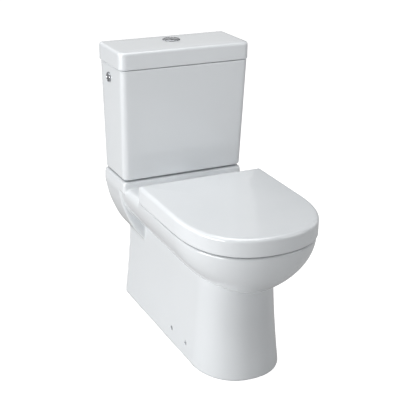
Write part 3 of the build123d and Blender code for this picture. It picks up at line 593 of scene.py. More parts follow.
def trap_distance(y, z):
    """Distance in the middle plane from the trapway's centre line."""
    corners = np.array([(-30.0, 100.0), (62.0, 100.0), (152.0, 245.0), (252.0, 180.0), (300.0, 180.0)])
    radii = (60.0, 57.0, 70.0)
    route = [corners[0]]
    for i, radius in enumerate(radii):
        before, corner, after = corners[i], corners[i + 1], corners[i + 2]
        a = (before - corner) / np.linalg.norm(before - corner)
        b = (after - corner) / np.linalg.norm(after - corner)
        half_turn = math.acos(float(a @ b)) / 2
        centre = corner + (a + b) / np.linalg.norm(a + b) * radius / math.sin(half_turn)
        start = corner + a * radius / math.tan(half_turn)
        end = corner + b * radius / math.tan(half_turn)
        for k in range(9):
            point = start + (end - start) * k / 8 - centre
            route.append(centre + point / np.linalg.norm(point) * radius)
    route.append(corners[-1])
    best = np.full(y.shape, 1e9)
    for p, q in zip(route, route[1:]):
        d = q - p
        t = np.clip(((y - p[0]) * d[0] + (z - p[1]) * d[1]) / (d @ d), 0.0, 1.0)
        best = np.minimum(best, np.hypot(y - p[0] - t * d[0], z - p[1] - t * d[1]))
    return best


def bowl_field(x, y, z, grow):
    """Inside of the bowl below the rim, grown by a wall thickness."""
    levels = (62.0, 100.0, 150.0, 205.0, 250.0, 285.0, 320.0, 352.0)
    half = smooth_table(z, levels, (24.0, 38.0, 46.0, 58.0, 78.0, 104.0, 127.0, 130.0)) + grow
    front = smooth_table(z, levels, (-52.0, -72.0, -98.0, -140.0, -205.0, -262.0, -298.0, -318.0)) - grow
    back = smooth_table(z, levels, (-8.0, 2.0, 14.0, 28.0, 38.0, 42.0, 40.0, 34.0)) + grow
    steep = 0.8 * np.exp(-((z - 240.0) / 55.0) ** 2)
    side = oval_field(x, y, half, front, back, 2.15) / np.sqrt(1 + steep)
    side = blend_max(side, 62.0 - grow - z, 18.0)
    return blend_max(side, z - 352.0, 12.0)


def box_field(x, y, z, half, front, back, low, high, edge):
    """Box with rounded edges, centred left to right."""
    side = blend_max(np.abs(x) - half, np.abs(y - (front + back) / 2) - (back - front) / 2, edge)
    return blend_max(side, np.abs(z - (low + high) / 2) - (high - low) / 2, edge)


def duct_field(x, y, z, grow):
    """Well under the flush valve and the tunnel to the back of the bowl."""
    floor = 346.0 - grow
    well = np.hypot(x, y - VALVE_Y) - 46.0 - grow
    well = blend_max(well, floor - z, 8.0)
    well = blend_max(well, z - (417.0 - 2 * grow), 3.0)
    tunnel = box_field(x, y, z, 32.0 + grow, 22.0 - grow * 0.5, VALVE_Y, floor, 376.0 + grow * 0.4, 8.0)
    return blend_min(well, tunnel, 6.0)


def pan_field(x, y, z):
    """Negative inside the china."""
    deck_round = 5.0 + 17.0 * np.clip((y - 70.0) / 35.0, 0.0, 1.0)
    body = belly_field(x, y, z)
    lean = shoulder_lean(z)
    wing_side = (np.abs(x) - shoulder_half(z, 0.0)) / np.sqrt(1 + lean * lean)
    body = blend_max(body, y - SHOULDER_FRONT - 12.0, 1.0)
    body = blend_max(body, z - RIM_Z, deck_round)
    wing = blend_max(wing_side, SHOULDER_FRONT - y, 9.0)
    step = blend_max(wing_side, PLATFORM_FRONT - y, 9.0)
    step = blend_max(step, 381.0 - z, 2.0)
    wing = np.minimum(wing, step)
    wing = blend_max(wing, z - PLATFORM_Z, 9.0)
    plinth = blend_max(plinth_field(x, y, z, 0.0), z - PLINTH_TOP, 2.0)
    wide = blend_min(blend_min(body, wing, 3.0), plinth, 5.0)
    wide = blend_max(wide, z - PLATFORM_Z, 2.0)
    wide = blend_max(wide, y - WALL_Y, 3.0)
    wide = blend_max(wide, -z, 3.0)
    return blend_max(wide, -space_field(x, y, z), 4.0)


def space_field(x, y, z):
    """Negative in every hollow of the pan."""
    hollow = blend_max(plinth_field(x, y, z, CHINA), z - 250.0, 4.0)
    lean = shoulder_lean(z)
    under = (np.abs(x) - shoulder_half(z, CHINA)) / np.sqrt(1 + lean * lean)
    back = blend_max(under, SHOULDER_FRONT + CHINA - y, 6.0)
    back = blend_max(back, z - (PLATFORM_Z - 15.0), 6.0)
    middle_half = smooth_table(z, (220.0, 266.0, 303.0, 350.0, 381.0), (84.0, 92.0, 128.0, 155.0, 160.0))
    middle = blend_max((np.abs(x) - middle_half) / 1.2, 66.0 - y, 6.0)
    middle = blend_max(middle, z - 381.0, 6.0)
    middle = blend_max(middle, 235.0 - z, 2.0)
    middle = blend_max(middle, y - SHOULDER_FRONT - CHINA - 2.0, 2.0)
    hollow = blend_min(blend_min(hollow, back, 6.0), middle, 6.0)
    way = trap_distance(y, z)
    pipe = np.hypot(x, way)
    spigot = blend_max(np.hypot(x, z - 180.0) - 51.0, np.abs(y - 270.0) - 30.0, 3.0)
    trap_shell = blend_max(pipe - 45.0, y - 296.0, 3.0)
    kept = blend_min(bowl_field(x, y, z, CHINA), trap_shell, 14.0)
    kept = blend_min(kept, duct_field(x, y, z, CHINA), 10.0)
    kept = blend_min(kept, spigot, 4.0)
    hollow = blend_max(hollow, -kept, 8.0)
    rim = oval_field(x, y, 118.5 + (z - 351.0) * 0.03, -308.0 - (z - 351.0) * 0.13, 18.0, 2.45)
    rim = blend_max(rim, 348.0 - z, 2.0)
    bowl = blend_min(bowl_field(x, y, z, 0.0), rim, 5.0)
    inner = blend_max(pipe - 36.0, y - 300.0, 1.0)
    bore = blend_max(np.hypot(x, z - 180.0) - 43.0, 252.0 - y, 3.0)
    water = blend_min(blend_min(bowl, inner, 12.0), duct_field(x, y, z, 0.0), 5.0)
    water = blend_min(water, bore, 2.0)
    return np.minimum(hollow, water)


def surface_nets(field, low, high, step):
    """Mesh of the field's zero surface: one vertex per cell that it crosses, quads between them."""
    axes = [np.arange(low[i], high[i] + step, step) for i in range(3)]
    shape = [len(a) for a in axes]
    values = np.empty(shape, np.float32)
    for k in range(shape[0]):
        y, z = np.meshgrid(axes[1], axes[2], indexing="ij")
        values[k] = field(np.full_like(y, axes[0][k]), y, z)
    inside = values < 0
    total = np.zeros([n - 1 for n in shape] + [3], np.float32)
    count = np.zeros([n - 1 for n in shape], np.int16)
    corner = [slice(None, -1), slice(1, None)]
    for axis in range(3):
        others = [i for i in range(3) if i != axis]
        for a in (0, 1):
            for b in (0, 1):
                start = [None, None, None]
                end = [None, None, None]
                start[axis], end[axis] = corner[0], corner[1]
                start[others[0]] = end[others[0]] = corner[a]
                start[others[1]] = end[others[1]] = corner[b]
                v0 = values[tuple(start)]
                v1 = values[tuple(end)]
                crossed = (v0 < 0) != (v1 < 0)
                t = np.where(crossed, v0 / np.where(crossed, v0 - v1, 1), 0)
                total[..., axis] += np.where(crossed, t, 0)
                total[..., others[0]] += crossed * a
                total[..., others[1]] += crossed * b
                count += crossed
    used = count > 0
    number = np.full(used.shape, -1, np.int64)
    number[used] = np.arange(int(used.sum()))
    cells = np.argwhere(used)
    points = cells + total[used] / count[used][:, None]
    points = points * step + np.array(low)
    faces = []
    for axis in range(3):
        a, b = [i for i in range(3) if i != axis]
        start = [slice(1, -1)] * 3
        end = [slice(1, -1)] * 3
        start[axis], end[axis] = slice(0, -1), slice(1, None)
        first = inside[tuple(start)]
        second = inside[tuple(end)]
        for flip in (False, True):
            edges = np.argwhere((first & ~second) if not flip else (~first & second))
            spot = edges + 1
            spot[:, axis] = edges[:, axis]
            around = []
            for da, db in ((-1, -1), (0, -1), (0, 0), (-1, 0)):
                cell = spot.copy()
                cell[:, a] += da
                cell[:, b] += db
                around.append(number[cell[:, 0], cell[:, 1], cell[:, 2]])
            quad = np.stack(around, 1)
            faces.append(quad[:, ::-1] if flip != (axis == 1) else quad)
    return points, np.concatenate(faces)


def settle(points, field, rounds=3, reach=2.0):
    """Move points straight onto the field's zero surface."""
    e = 0.25
    for _ in range(rounds):
        x, y, z = points.T
        value = field(x, y, z)
        slope = np.stack([field(x + e, y, z) - field(x - e, y, z), field(x, y + e, z) - field(x, y - e, z),
                          field(x, y, z + e) - field(x, y, z - e)], 1) / (2 * e)
        size = np.maximum((slope ** 2).sum(1), 0.05)
        move = slope * (value / size)[:, None]
        length = np.maximum(np.linalg.norm(move, axis=1), 1e-9)
        points = points - move * np.minimum(1.0, reach / length)[:, None]
    return points


def relax(points, faces, field, rounds=2):
    """Even out the quads along the surface, then settle again."""
    edges = np.concatenate([faces[:, [0, 1]], faces[:, [1, 2]], faces[:, [2, 3]], faces[:, [3, 0]]])
    for _ in range(rounds):
        total = np.zeros_like(points)
        count = np.zeros(len(points))
        np.add.at(total, edges[:, 0], points[edges[:, 1]])
        np.add.at(total, edges[:, 1], points[edges[:, 0]])
        np.add.at(count, edges[:, 0], 1)
        np.add.at(count, edges[:, 1], 1)
        points = settle(points * 0.4 + 0.6 * total / count[:, None], field, 2)
    return points


# ---------------------------------------------------------------- pan
def make_pan():
    """Pan with its fixing holes, meshed from the field."""
    points, faces = surface_nets(pan_field, (-192.0, -356.0, -6.0), (192.0, 360.0, 424.0), 4.0)
    points = relax(settle(points, pan_field), faces, pan_field, 1)
    pan = make_piece("pan_china", points * MM, faces.tolist(), ROOT, "ceramic",
                     ["pan_bowl", "pan_deck", "pan_plinth", "pan_trapway"])
    holes = Parts()
    fixing = [(0, 90), (5.75, 90), (5.75, 106), (5.75, 116.6), (5.85, 117.2), (6.1, 117.7),
              (6.6, 118.2), (7.4, 119), (7.4, 132), (0, 132)]
    for side in (-1, 1):
        add_plug(holes, 7.5, 375, 399, (side * HINGE_X, HINGE_Y, 0), "Z", 36)
        add_plug(holes, 7.0, 390, 419, (side * BOLT_X, BOLT_Y, 0), "Z", 36)
        for y in (-69, 19):
            add_turned(holes, [(r, side * h) for r, h in fixing], (0, y, 40), "X", 40)
    cut(pan, holes)


# ---------------------------------------------------------------- outlines, in millimetres
def bezier(a, b, c, d, steps):
    """Points of a cubic, without its last one."""
    out = []
    for i in range(steps):
        t = i / steps
        w = ((1 - t) ** 3, 3 * t * (1 - t) ** 2, 3 * t * t * (1 - t), t ** 3)
        out.append(tuple(sum(k * p[j] for k, p in zip(w, (a, b, c, d))) for j in (0, 1)))
    return out


def line(a, b, steps):
    """Points of a straight stretch, without its last one."""
    return [(a[0] + (b[0] - a[0]) * i / steps, a[1] + (b[1] - a[1]) * i / steps) for i in range(steps)]


def d_outline(inset, back, corner=7.0):
    """Seat outline: straight back with rounded corners, straight sides, full nose."""
    half, far, front, shoulder = 180.0 - inset, 182.6 - inset, -350.0 + inset, -135.0
    r = max(corner - inset, 0.8)
    grip = shoulder - 0.657 * (shoulder - front)
    right = line((0, back), (far - r, back), 20)
    right += arc((far - r, back - r), r, 90, 0, 8)[:-1]
    right += line((far, back - r), (half, shoulder), 24)
    right += bezier((half, shoulder), (half, grip), (0.657 * half, front), (0, front), 60)
    left = [(-x, y) for x, y in reversed(right[1:])]
    return right + [(0, front)] + left


def box_outline(half, front, back, front_r, back_r):
    """Rectangle with rounded corners, starting in the middle of the back."""
    right = line((0, back), (half - back_r, back), 16)
    right += arc((half - back_r, back - back_r), back_r, 90, 0, 8)[:-1]
    right += line((half, back - back_r), (half, front + front_r), 12)
    right += arc((half - front_r, front + front_r), front_r, 0, -90, 12)[:-1]
    right += line((half - front_r, front), (0, front), 16)
    left = [(-x, y) for x, y in reversed(right[1:])]
    return right + [(0, front)] + left


def egg_outline(half, front, back, full, angles, centre):
    """Oval sampled in the given directions from a point."""
    mid, reach = (front + back) / 2, (back - front) / 2
    quarter = bezier((half, mid), (half, mid - full * reach), (full * half, front), (0, front), 80)
    quarter.append((0, front))
    pts = quarter + [(-x, y) for x, y in reversed(quarter[:-1])]
    pts += [(x, 2 * mid - y) for x, y in reversed(pts[1:-1])]
    pts = np.array(pts)
    theta = np.arctan2(pts[:, 1] - centre[1], pts[:, 0] - centre[0])
    size = np.hypot(pts[:, 0] - centre[0], pts[:, 1] - centre[1])
    order = np.argsort(theta)
    theta, size = theta[order], size[order]
    theta = np.concatenate([theta - 2 * np.pi, theta, theta + 2 * np.pi])
    size = np.concatenate([size] * 3)
    r = np.interp(angles, theta, size)
    return [(centre[0] + k * math.cos(a), centre[1] + k * math.sin(a)) for k, a in zip(r, angles)]


def lift(outline, z):
    """Outline as points in metres at a height, or at a height for each point."""
    if np.isscalar(z):
        return [(x * MM, y * MM, z * MM) for x, y in outline]
    return [(x * MM, y * MM, h * MM) for (x, y), h in zip(outline, z)]


def close_with_rings(parts, last, outline, centre, height, steps):
    """Fill a loop with shrinking rings down to a point. height(share, x, y) gives z in millimetres."""
    for i in range(1, steps):
        share = 1 - i / steps
        loop = [(centre[0] + (x - centre[0]) * share, centre[1] + (y - centre[1]) * share)
                for x, y in outline]
        new = parts.ring(lift(loop, [height(share, x, y) for x, y in loop]))
        parts.bridge(last, new)
        last = new
    middle = parts.ring(lift([centre], height(0.0, *centre)))[0]
    count = len(last)
    parts.faces.extend((last[i], last[(i + 1) % count], middle) for i in range(count))


# ---------------------------------------------------------------- cistern
def tank_outline(z, inset, corner):
    """Outline of the cistern's outside at a height, moved inwards."""
    part = (z - TANK_FOOT) / (TANK_MOUTH - TANK_FOOT)
    return box_outline(179.5 + 7.0 * part - inset, 196.0 - 17.5 * part + inset, WALL_Y - inset,
                       corner, corner)


def make_tank():
    """Hollow cistern, open at the top, with its valve, bolt and side holes."""
    parts = Parts()
    foot, mouth, inner_mouth = 7, 3.4, 2.2
    floor, wall = 431.0, 10.0
    low, high = TANK_FOOT + foot, TANK_MOUTH - mouth
    inner_high = TANK_MOUTH - inner_mouth
    outer = [(low - rise, inset, 16.0 - inset * 0.8) for inset, rise in quarter(foot, range(90, -1, -15))]
    outer += [(low + (high - low) * i / 40, 0.0, 16.0) for i in range(1, 41)]
    outer += [(high + rise, inset, 15.0) for inset, rise in quarter(mouth, range(15, 91, 15))]
    inner = [(inner_high + rise, wall - inset, 10.0)
             for inset, rise in quarter(inner_mouth, (90, 60, 30, 0))]
    inner += [(inner_high - (inner_high - 440) * i / 24, wall, 9.0) for i in range(1, 25)]
    inner += [(floor + 9 - 9 * math.sin(math.radians(a)), wall + 9 - 9 * math.cos(math.radians(a)),
               9.0 - a * 0.06) for a in (20, 40, 60, 80, 90)]
    rings = [parts.ring(lift(tank_outline(z, inset, corner), z)) for z, inset, corner in outer + inner]
    parts.skin(rings)
    centre = (0.0, BOLT_Y)
    close_with_rings(parts, rings[0], tank_outline(*outer[0]), centre, lambda *spot: TANK_FOOT, 10)
    close_with_rings(parts, rings[-1], tank_outline(*inner[-1]), centre, lambda *spot: floor, 10)
    tank = make_piece("cistern_china", parts.points, parts.faces, ROOT, "ceramic", ["cistern_tank"])
    fix_normals(tank)
    holes = Parts()
    add_plug(holes, 31, 410, 440, (0, VALVE_Y, 0), "Z", 72)
    side_hole = [(0, 160), (9, 160), (9, 184), (14.5, 184), (14.5, 195), (0, 195)]
    for side in (-1, 1):
        add_plug(holes, 5.5, 410, 440, (side * BOLT_X, BOLT_Y, 0), "Z", 32)
        add_turned(holes, [(r, side * h) for r, h in side_hole], SIDE_HOLE, "X", 56)
    cut(tank, holes)
    sharpen(tank, 40)


def lid_outline(inset):
    """Outline of the lid's outside, moved inwards."""
    return box_outline(190.0 - inset, 178.0 + inset, WALL_Y - inset,
                       max(19.0 - inset, 2.0), max(12.0 - inset, 2.0))


def lip_outline(inset):
    """Outline of the lip under the lid, moved inwards."""
    return box_outline(186.5 - inset, 178.5 + inset, WALL_Y - inset, 8.0, 8.0)


def make_lid():
    """Lid with a crowned top, a lip that drops into the cistern, and the button's hole."""
    parts = Parts()
    crown, corner, edge = 1.2, 8, 2.2
    top, bottom, ceiling = LID_TOP - crown - corner, 733.8, 768.0
    levels = [(top + rise, inset) for inset, rise in quarter(corner, range(90, -1, -9))]
    levels += [(top + (bottom - top) * i / 12, 0.0) for i in range(1, 13)]
    levels += [(bottom - rise, inset) for inset, rise in quarter(edge, (30, 60, 90))]
    rings = [parts.ring(lift(lid_outline(inset), z)) for z, inset in levels]
    for z, inset in ((730, 12.5), (729.4, 13.0), (723, 13.0), (722.3, 13.3), (722, 14.0), (722, 18.0),
                     (722.3, 18.7), (723, 19.0), (745, 19.0), (760, 19.4), (765, 21.5), (767.4, 25.0),
                     (ceiling, 30.0)):
        rings.append(parts.ring(lift(lip_outline(inset), z)))
    parts.skin(rings)
    centre = (0.0, 264.0)
    close_with_rings(parts, rings[0], lid_outline(8.0), centre,
                     lambda s, x, y: LID_TOP - crown * min(1.0, max(0.0, (s - 0.35) / 0.65)) ** 2.4, 16)
    close_with_rings(parts, rings[-1], lip_outline(30.0), centre, lambda *spot: ceiling, 8)
    lid = make_piece("cistern_lid_china", parts.points, parts.faces, "cistern_lid", "ceramic",
                     ["cistern_lid"])
    fix_normals(lid)
    hole = Parts()
    add_plug(hole, 22.3, 730, 800, (0, VALVE_Y, 0), "Z", 72)
    cut(lid, hole)
    sharpen(lid, 40)


# ---------------------------------------------------------------- seat
def lug(parts, x0, x1, y0, z0, z1, radius, pin):
    """Hinge lug round the pin: a barrel with an arm, star shaped about the hinge axis."""
    count = 72
    outer = []
    for i in range(count):
        angle = 2 * math.pi * i / count
        c, s = math.cos(angle), math.sin(angle)
        reach = radius
        if c < -1e-6:
            far = (HINGE_Y - y0) / -c
            high = (z1 - HINGE_Z) / s if s > 1e-6 else 1e9
            low = (HINGE_Z - z0) / -s if s < -1e-6 else 1e9
            reach = max(reach, min(far, high, low))
        outer.append((c, s, reach))

    def loop(x, radii):
        return parts.ring([(x * MM, (HINGE_Y + c * r) * MM, (HINGE_Z + s * r) * MM)
                           for (c, s, _), r in zip(outer, radii)])

    stations = ((x0, 0.8), (x0 + 0.25, 0.25), (x0 + 0.8, 0.0),
                (x1 - 0.8, 0.0), (x1 - 0.25, 0.25), (x1, 0.8))
    loops = [loop(x, [r - inset for _, _, r in outer]) for x, inset in stations]
    loops += [loop(x, [pin] * count) for x in (x1, x0)]
    parts.skin(loops, True)


def make_cover():
    """Hollow cover with rounded edges, hinge notches and lugs."""
    parts = Parts()
    back, bottom, top, crown = 88.0, 399.0, 447.0, 2.0
    foot, corner = 1.5, 10
    low, high = bottom + foot, top - crown - corner
    levels = [(low - rise, inset) for inset, rise in quarter(foot, (90, 60, 30, 0))]
    levels += [(low + (high - low) * i / 8, 0.0) for i in range(1, 9)]
    levels += [(high + rise, inset) for inset, rise in quarter(corner, range(9, 91, 9))]
    rings = [parts.ring(lift(d_outline(d, back - d), z)) for z, d in levels]
    ceiling = top - 5.0 - 1.0
    inner = [parts.ring(lift(d_outline(d, b, 9.0), z)) for z, d, b in (
        (bottom, 4.2, 84.8), (bottom + 0.3, 4.7, 84.3), (bottom + 1.0, 5.0, 84.0), (420, 5.0, 84.0),
        (ceiling - 5, 5.0, 84.0), (ceiling - 2, 6.2, 82.8), (ceiling - 0.6, 8.4, 80.6),
        (ceiling, 11.0, 78.0))]
    parts.bridge(rings[0], inner[0])
    parts.skin(rings)
    parts.skin(inner)
    centre = (0.0, -105.0)
    close_with_rings(parts, rings[-1], d_outline(10.0, back - 10), centre,
                     lambda s, x, y: top - crown * max(0.0, (s - 0.2) / 0.8) ** 2.6, 26)
    close_with_rings(parts, inner[-1], d_outline(11.0, 78.0, 9.0), centre, lambda *spot: ceiling, 12)
    cover = make_piece("seat_cover_shell", parts.points, parts.faces, "seat_cover", "seat_plastic",
                       ["seat_cover"])
    fix_normals(cover)
    notches = Parts()
    lugs = Parts()
    for side in (-1, 1):
        mid = side * 74.5
        shape = [(mid - 17.5, 397.0), (mid + 17.5, 397.0)]
        shape += arc((mid + 12.5, 431.0), 5.0, 0, 90, 6) + arc((mid - 12.5, 431.0), 5.0, 90, 180, 6)
        add_prism(notches, *[[(x, y, z) for x, z in shape] for y in (83.0, 90.0)])
        near, far = sorted((side * 87.0, side * 98.0))
        lug(lugs, near, far, 85.0, HINGE_Z, 427.5, LUG_RADIUS, PIN_BORE)
    cut(cover, notches)
    sharpen(cover, 38)
    join(cover, lugs)


def join(piece, parts):
    """Add more closed shells to a piece's mesh."""
    more = bpy.data.meshes.new("more")
    more.from_pydata(parts.points, [], parts.faces)
    with editing(more) as extra:
        bmesh.ops.recalc_face_normals(extra, faces=extra.faces)
        mark_sharp(extra, 35)
        for face in extra.faces:
            face.smooth = True
    with editing(piece.data) as work:
        work.from_mesh(more)
    bpy.data.meshes.remove(more)


def make_ring():
    """Seat ring, hollow underneath, with its buffers' bosses, hinge notches and lugs."""
    parts = Parts()
    outline = d_outline(9.0, 78.0, 12.0)
    centre = (0.0, -120.0)
    angles = [math.atan2(y - centre[1], x - centre[0]) for x, y in outline]
    hole = egg_outline(112.0, -276.0, 8.0, 0.62, angles, centre)
    width = [math.hypot(a[0] - b[0], a[1] - b[1]) for a, b in zip(outline, hole)]

    def across(distance, from_hole, z):
        """Loop at a distance from the outer edge or from the hole's edge."""
        loop = []
        for (ox, oy), (hx, hy), w in zip(outline, hole, width):
            t = distance / w if not from_hole else 1 - distance / w
            loop.append((ox + (hx - ox) * t, oy + (hy - oy) * t))
        return parts.ring(lift(loop, z))

    def share(t, z):
        """Loop at a share of the way from the outer edge to the hole."""
        loop = [(ox + (hx - ox) * t, oy + (hy - oy) * t) for (ox, oy), (hx, hy) in zip(outline, hole)]
        return parts.ring(lift(loop, z))

    under, shoulder, rib = 404, 417.6, ((8.5, 401), (9.0, 401.6), (9.2, 417.0), (11.0, 418.6))
    rings = [across(d, False, under - rise) for d, rise in quarter(3, range(90, -1, -15))]
    rings.append(across(0, False, 412))
    rings += [across(d, False, shoulder + rise) for d, rise in quarter(10, range(0, 76, 12), 9.4)]
    rings += [share(t, 430.0 - 11.0 * abs(t - 0.5) ** 2.2 * 1.6)
              for t in (0.22, 0.3, 0.4, 0.5, 0.6, 0.7, 0.78)]
    rings += [across(d, True, shoulder + rise) for d, rise in quarter(10, range(72, -1, -12), 9.4)]
    rings.append(across(0, True, 412))
    rings += [across(d, True, under - rise) for d, rise in quarter(3, range(0, 91, 15))]
    rings += [across(d, True, z) for d, z in rib]
    rings += [share(1 - t, 419.0) for t in (0.35, 0.5, 0.65)]
    rings += [across(d, False, z) for d, z in reversed(rib)]
    parts.skin(rings, True)
    ring = make_piece("seat_ring_shell", parts.points, parts.faces, "seat_ring", "seat_plastic",
                      ["seat_ring"])
    fix_normals(ring)
    extras = Parts()
    notches = Parts()
    boss = [(0, 401.2), (12.5, 401.2), (13, 401.8), (13, 422.5), (0, 422.5)]
    for side in (-1, 1):
        for x, y in ((132, 30), (100, -266)):
            add_turned(extras, boss, (side * x, y, 0), "Z", 40)
        near, far = sorted((side * 58.0, side * 69.0))
        lug(extras, near, far, 70.0, 409.0, 425.0, LUG_RADIUS, PIN_BORE)
        near, far = sorted((side * 52.0, side * 104.0))
        shape = [(near, 90.0), (near, 78.0)] + arc((near + 4, 78.0), 4.0, 180, 270, 5)
        shape += arc((far - 4, 78.0), 4.0, 270, 360, 5) + [(far, 90.0)]
        add_prism(notches, *[[(x, y, z) for x, y in shape] for z in (398.0, 436.0)])
    cut(ring, notches)
    sharpen(ring, 40)
    join(ring, extras)


# ---------------------------------------------------------------- turned and threaded pieces
def rounded(r, h, radius, turn):
    """Quarter round between two profile lines, 'up_in' at an outer edge or 'in_down' at an inner one."""
    if turn == "up_in":
        return arc((r - radius, h - radius), radius, 0, 90, 5)
    return arc((r + radius, h - radius), radius, 90, 180, 5)


def turned(name, profile, centre, axis, body, slot, replaced=(), segments=72):
    """Piece of revolution from a profile in millimetres."""
    parts = Parts()
    add_turned(parts, profile, centre, axis, segments)
    piece = make_piece(name, parts.points, parts.faces, body, slot, replaced)
    fix_normals(piece)
    sharpen(piece, 30)
    return piece


def threaded(radius, bore, start, end, pitch, centre, axis, depth=0.8, segments=40):
    """Rod or tube with a helical thread between two positions on its axis, ends run out."""
    parts = Parts()
    per_turn = 8
    count = max(4, int(abs(end - start) / pitch * per_turn))
    way = 1 if end > start else -1
    loops = []
    bore = max(bore, 0.05)

    def loop(r_of, h):
        pts = []
        for i in range(segments):
            angle = 2 * math.pi * i / segments
            r = r_of(angle)
            c, s = r * math.cos(angle), r * math.sin(angle)
            x, y, z = {"Z": (c, s, h), "X": (h, c, s), "Y": (s, h, c)}[axis]
            pts.append(((centre[0] + x) * MM, (centre[1] + y) * MM, (centre[2] + z) * MM))
        return parts.ring(pts)

    loops.append(loop(lambda a: bore, start))
    loops.append(loop(lambda a: radius - depth * 1.2, start))
    for k in range(count + 1):
        h = start + (end - start) * k / count
        edge = min(1.0, k / per_turn, (count - k) / per_turn)

        def crest(angle, k=k, edge=edge):
            phase = (k / per_turn - way * angle / (2 * math.pi)) % 1.0
            wave = 1 - abs(2 * phase - 1) * 2
            return radius - depth * (0.5 - 0.5 * max(-1.0, min(1.0, wave * 1.35))) * (0.35 + 0.65 * edge) \
                - depth * 0.35 * (1 - edge)

        loops.append(loop(crest, h))
    loops.append(loop(lambda a: radius - depth * 1.2, end))
    loops.append(loop(lambda a: bore, end))
    parts.skin(loops, True)
    return parts


def make_button_housing():
    """Bezel, sleeve and perforated floor."""
    profile = [(0, 752), (21.0, 752), (21.8, 752.8), (21.8, 757)]
    profile += [(21.4, 757.4), (21.4, 778.6), (21.8, 779.0), (21.8, LID_TOP), (24.1, LID_TOP)]
    profile += [(24.5, 780.3), (24.5, 781.3)] + rounded(24.5, 783, 1.7, "up_in")[1:]
    profile += rounded(19.4, 783, 0.6, "in_down")
    profile += [(19.4, 754.6), (18.8, 754), (0, 754)]
    centre = (0, VALVE_Y, 0)
    piece = turned("button_bezel", profile, centre, "Z", "cistern_lid", "chrome", ["button_housing"], 96)
    holes = Parts()
    for side in (-1, 1):
        add_plug(holes, 2.9, 750, 756, (side * ROD_X, VALVE_Y, 0), "Z", 28)
    cut(piece, holes)
    sharpen(piece, 30)
    join(piece, threaded(21.8, 20.6, 758.5, 778.0, 2.5, centre, "Z", 0.7, 64))


def make_button(name, side, chord):
    """Half of the split button: flat chord, round rim, softly domed top, boss for the rod."""
    parts = Parts()
    foot, rim, sphere = 775.0, 0.9, 110

    def outline(d):
        """Outline of the half at an inset: the round rim, then the straight chord."""
        r = 19.0 - d
        x0 = chord + side * d
        limit = math.acos(side * x0 / r)
        pts = []
        for i in range(49):
            a = -limit + 2 * limit * i / 48
            pts.append((side * r * math.cos(a), VALVE_Y + r * math.sin(a)))
        top_y = pts[-1][1]
        bottom_y = pts[0][1]
        for i in range(1, 24):
            pts.append((x0, top_y + (bottom_y - top_y) * i / 24))
        return pts

    def dome(x, y, drop=0.0):
        """Height of the top face, a shallow part of a sphere."""
        return 784.5 - sphere + math.sqrt(sphere ** 2 - x * x - (y - VALVE_Y) ** 2) - drop

    rings = [parts.ring(lift(outline(0.3), foot)), parts.ring(lift(outline(0.0), foot + 0.3))]
    for d, rise in quarter(rim, (0, 22, 45, 67, 90)):
        edge = outline(d)
        rings.append(parts.ring(lift(edge, [dome(x, y, rim - rise) for x, y in edge])))
    parts.skin(rings)
    centre = (9.0 if side > 0 else -12.0, VALVE_Y)
    close_with_rings(parts, rings[-1], outline(rim), centre, lambda share, x, y: dome(x, y), 10)
    close_with_rings(parts, rings[0], outline(0.3), centre, lambda *spot: foot, 4)
    piece = make_piece(name + "_cap", parts.points, parts.faces, name, "chrome", [name])
    fix_normals(piece)
    sharpen(piece, 34)
    boss = Parts()
    profile = [(2.55, 765), (4.2, 765), (4.5, 765.3), (4.5, 776), (2.55, 776)]
    add_turned(boss, profile, (side * ROD_X, VALVE_Y, 0), "Z", 36)
    join(piece, boss)


def make_spring(name, side):
    """Button return spring with closed end coils."""
    coil, wire, turns, steps, round_steps = 5.9, 0.45, 6, 36, 10
    low, high, seat = 754.6, 774.4, 754.0
    dead = 2.1 * wire
    parts = Parts()
    loops = []
    for i in range(turns * steps + 1):
        turn = i / steps
        z = low + dead * min(turn, 1.0) + dead * max(0.0, turn - turns + 1)
        z += (high - low - 2 * dead) * min(1.0, max(0.0, (turn - 1) / (turns - 2)))
        c, s = math.cos(2 * math.pi * turn), math.sin(2 * math.pi * turn)
        loop = []
        for k in range(round_steps):
            out = coil + wire * math.cos(2 * math.pi * k / round_steps)
            up = wire * math.sin(2 * math.pi * k / round_steps)
            loop.append(((side * ROD_X + out * c) * MM, (VALVE_Y + out * s) * MM, (z + up) * MM))
        loops.append(parts.ring(loop))
    parts.skin(loops)
    parts.faces.extend([tuple(reversed(loops[0])), tuple(loops[-1])])
    spring = make_piece(name + "_coil", parts.points, parts.faces, "cistern_lid", "steel", [name])
    fix_normals(spring)
    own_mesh(spring)


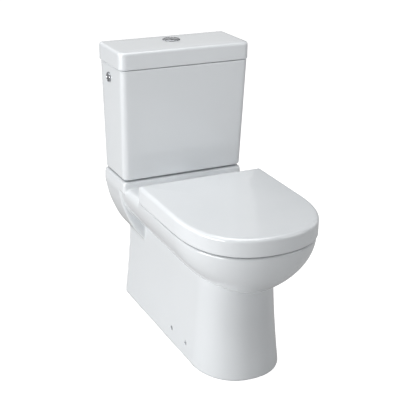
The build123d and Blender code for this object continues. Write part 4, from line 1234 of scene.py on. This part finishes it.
def make_small_pieces():
    """Blanking cap, rosettes, hinge pillars and the inlet's thread."""
    def shank(name, radius, bore, start, end, slot):
        """Threaded rod or tube on the axis of the side holes."""
        thread = threaded(radius, bore, start, end, 1.8, SIDE_HOLE, "X", 0.9)
        fix_normals(make_piece(name, thread.points, thread.faces, ROOT, slot))

    cap = [(0, -188.6), (8.8, -188.6), (9.6, -188.9), (10.2, -189.7)]
    cap += [(r, -h) for r, h in rounded(13.3, 190, 2.4, "up_in")[::-1]]
    cap += [(13.3, -184.6), (12.9, -184.2), (9.0, -184.2), (0, -184.2)]
    turned("blanking_cap_head", cap, SIDE_HOLE, "X", ROOT, "chrome", ["blanking_cap"], 72)
    shank("blanking_cap_shank", 8.8, 0.0, -184.3, -163.0, "chrome")
    disc = [(4.2, 395.1), (21.5, 395.1), (22, 395.6), (22, 397.1)] + rounded(22, 399, 1.8, "up_in")[1:]
    disc += [(9.5, 399.0), (8.0, 399.4), (4.2, 399.4)]
    pillar = [(0, 399.2), (8.3, 399.2), (7.6, 400.2), (7.5, 401.5), (7.5, 409.5), (7.5, HINGE_Z),
              (0, HINGE_Z)]
    eye = [(6.0, -8), (9.7, -8), (10.5, -7.2), (10.5, 7.2), (9.7, 8), (6.0, 8)]
    for side, word in ((-1, "left"), (1, "right")):
        middle = side * HINGE_X
        names = ["hinge_rosettes"] if side < 0 else []
        turned("rosette_" + word, disc, (middle, HINGE_Y, 0), "Z", ROOT, "chrome", names, 72)
        post = turned("hinge_pillar_" + word, pillar, (middle, HINGE_Y, 0), "Z", ROOT, "chrome", (), 56)
        bore, ring = Parts(), Parts()
        add_plug(bore, 6, -9, 9, (middle, HINGE_Y, HINGE_Z), "X", 48)
        add_turned(ring, eye, (middle, HINGE_Y, HINGE_Z), "X", 64)
        cut(post, bore)
        sharpen(post, 34)
        join(post, ring)
        if side < 0:
            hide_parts("hinge_posts")
    shank("inlet_thread", 8.5, 4.5, 190.6, 199.0, "white_plastic")


# ---------------------------------------------------------------- carried-over nodes
RECORD = frame["record"]
SLOT_OF = {row["node"]: row["material_slot"] for row in RECORD["subparts"]}


def dress_node(name, node):
    """Give a CAD node its slot's look and softly rounded edges."""
    node.data.materials.clear()
    node.data.materials.append(LOOKS[SLOT_OF[name]])
    edge = node.modifiers.new("edge", "BEVEL")
    edge.width = 0.00035
    edge.segments = 2
    edge.limit_method = "ANGLE"
    edge.angle_limit = math.radians(40)
    edge.harden_normals = True
    edge.use_clamp_overlap = True


make_camera()
make_light()
make_floor()
for node_name, node_object in frame["nodes"].items():
    dress_node(node_name, node_object)
make_pan()
make_tank()
make_lid()
make_cover()
make_ring()
make_button_housing()
make_button("full_flush_button", 1, -4.0)
make_button("half_flush_button", -1, -4.6)
make_spring("full_flush_spring", 1)
make_spring("half_flush_spring", -1)
make_small_pieces()
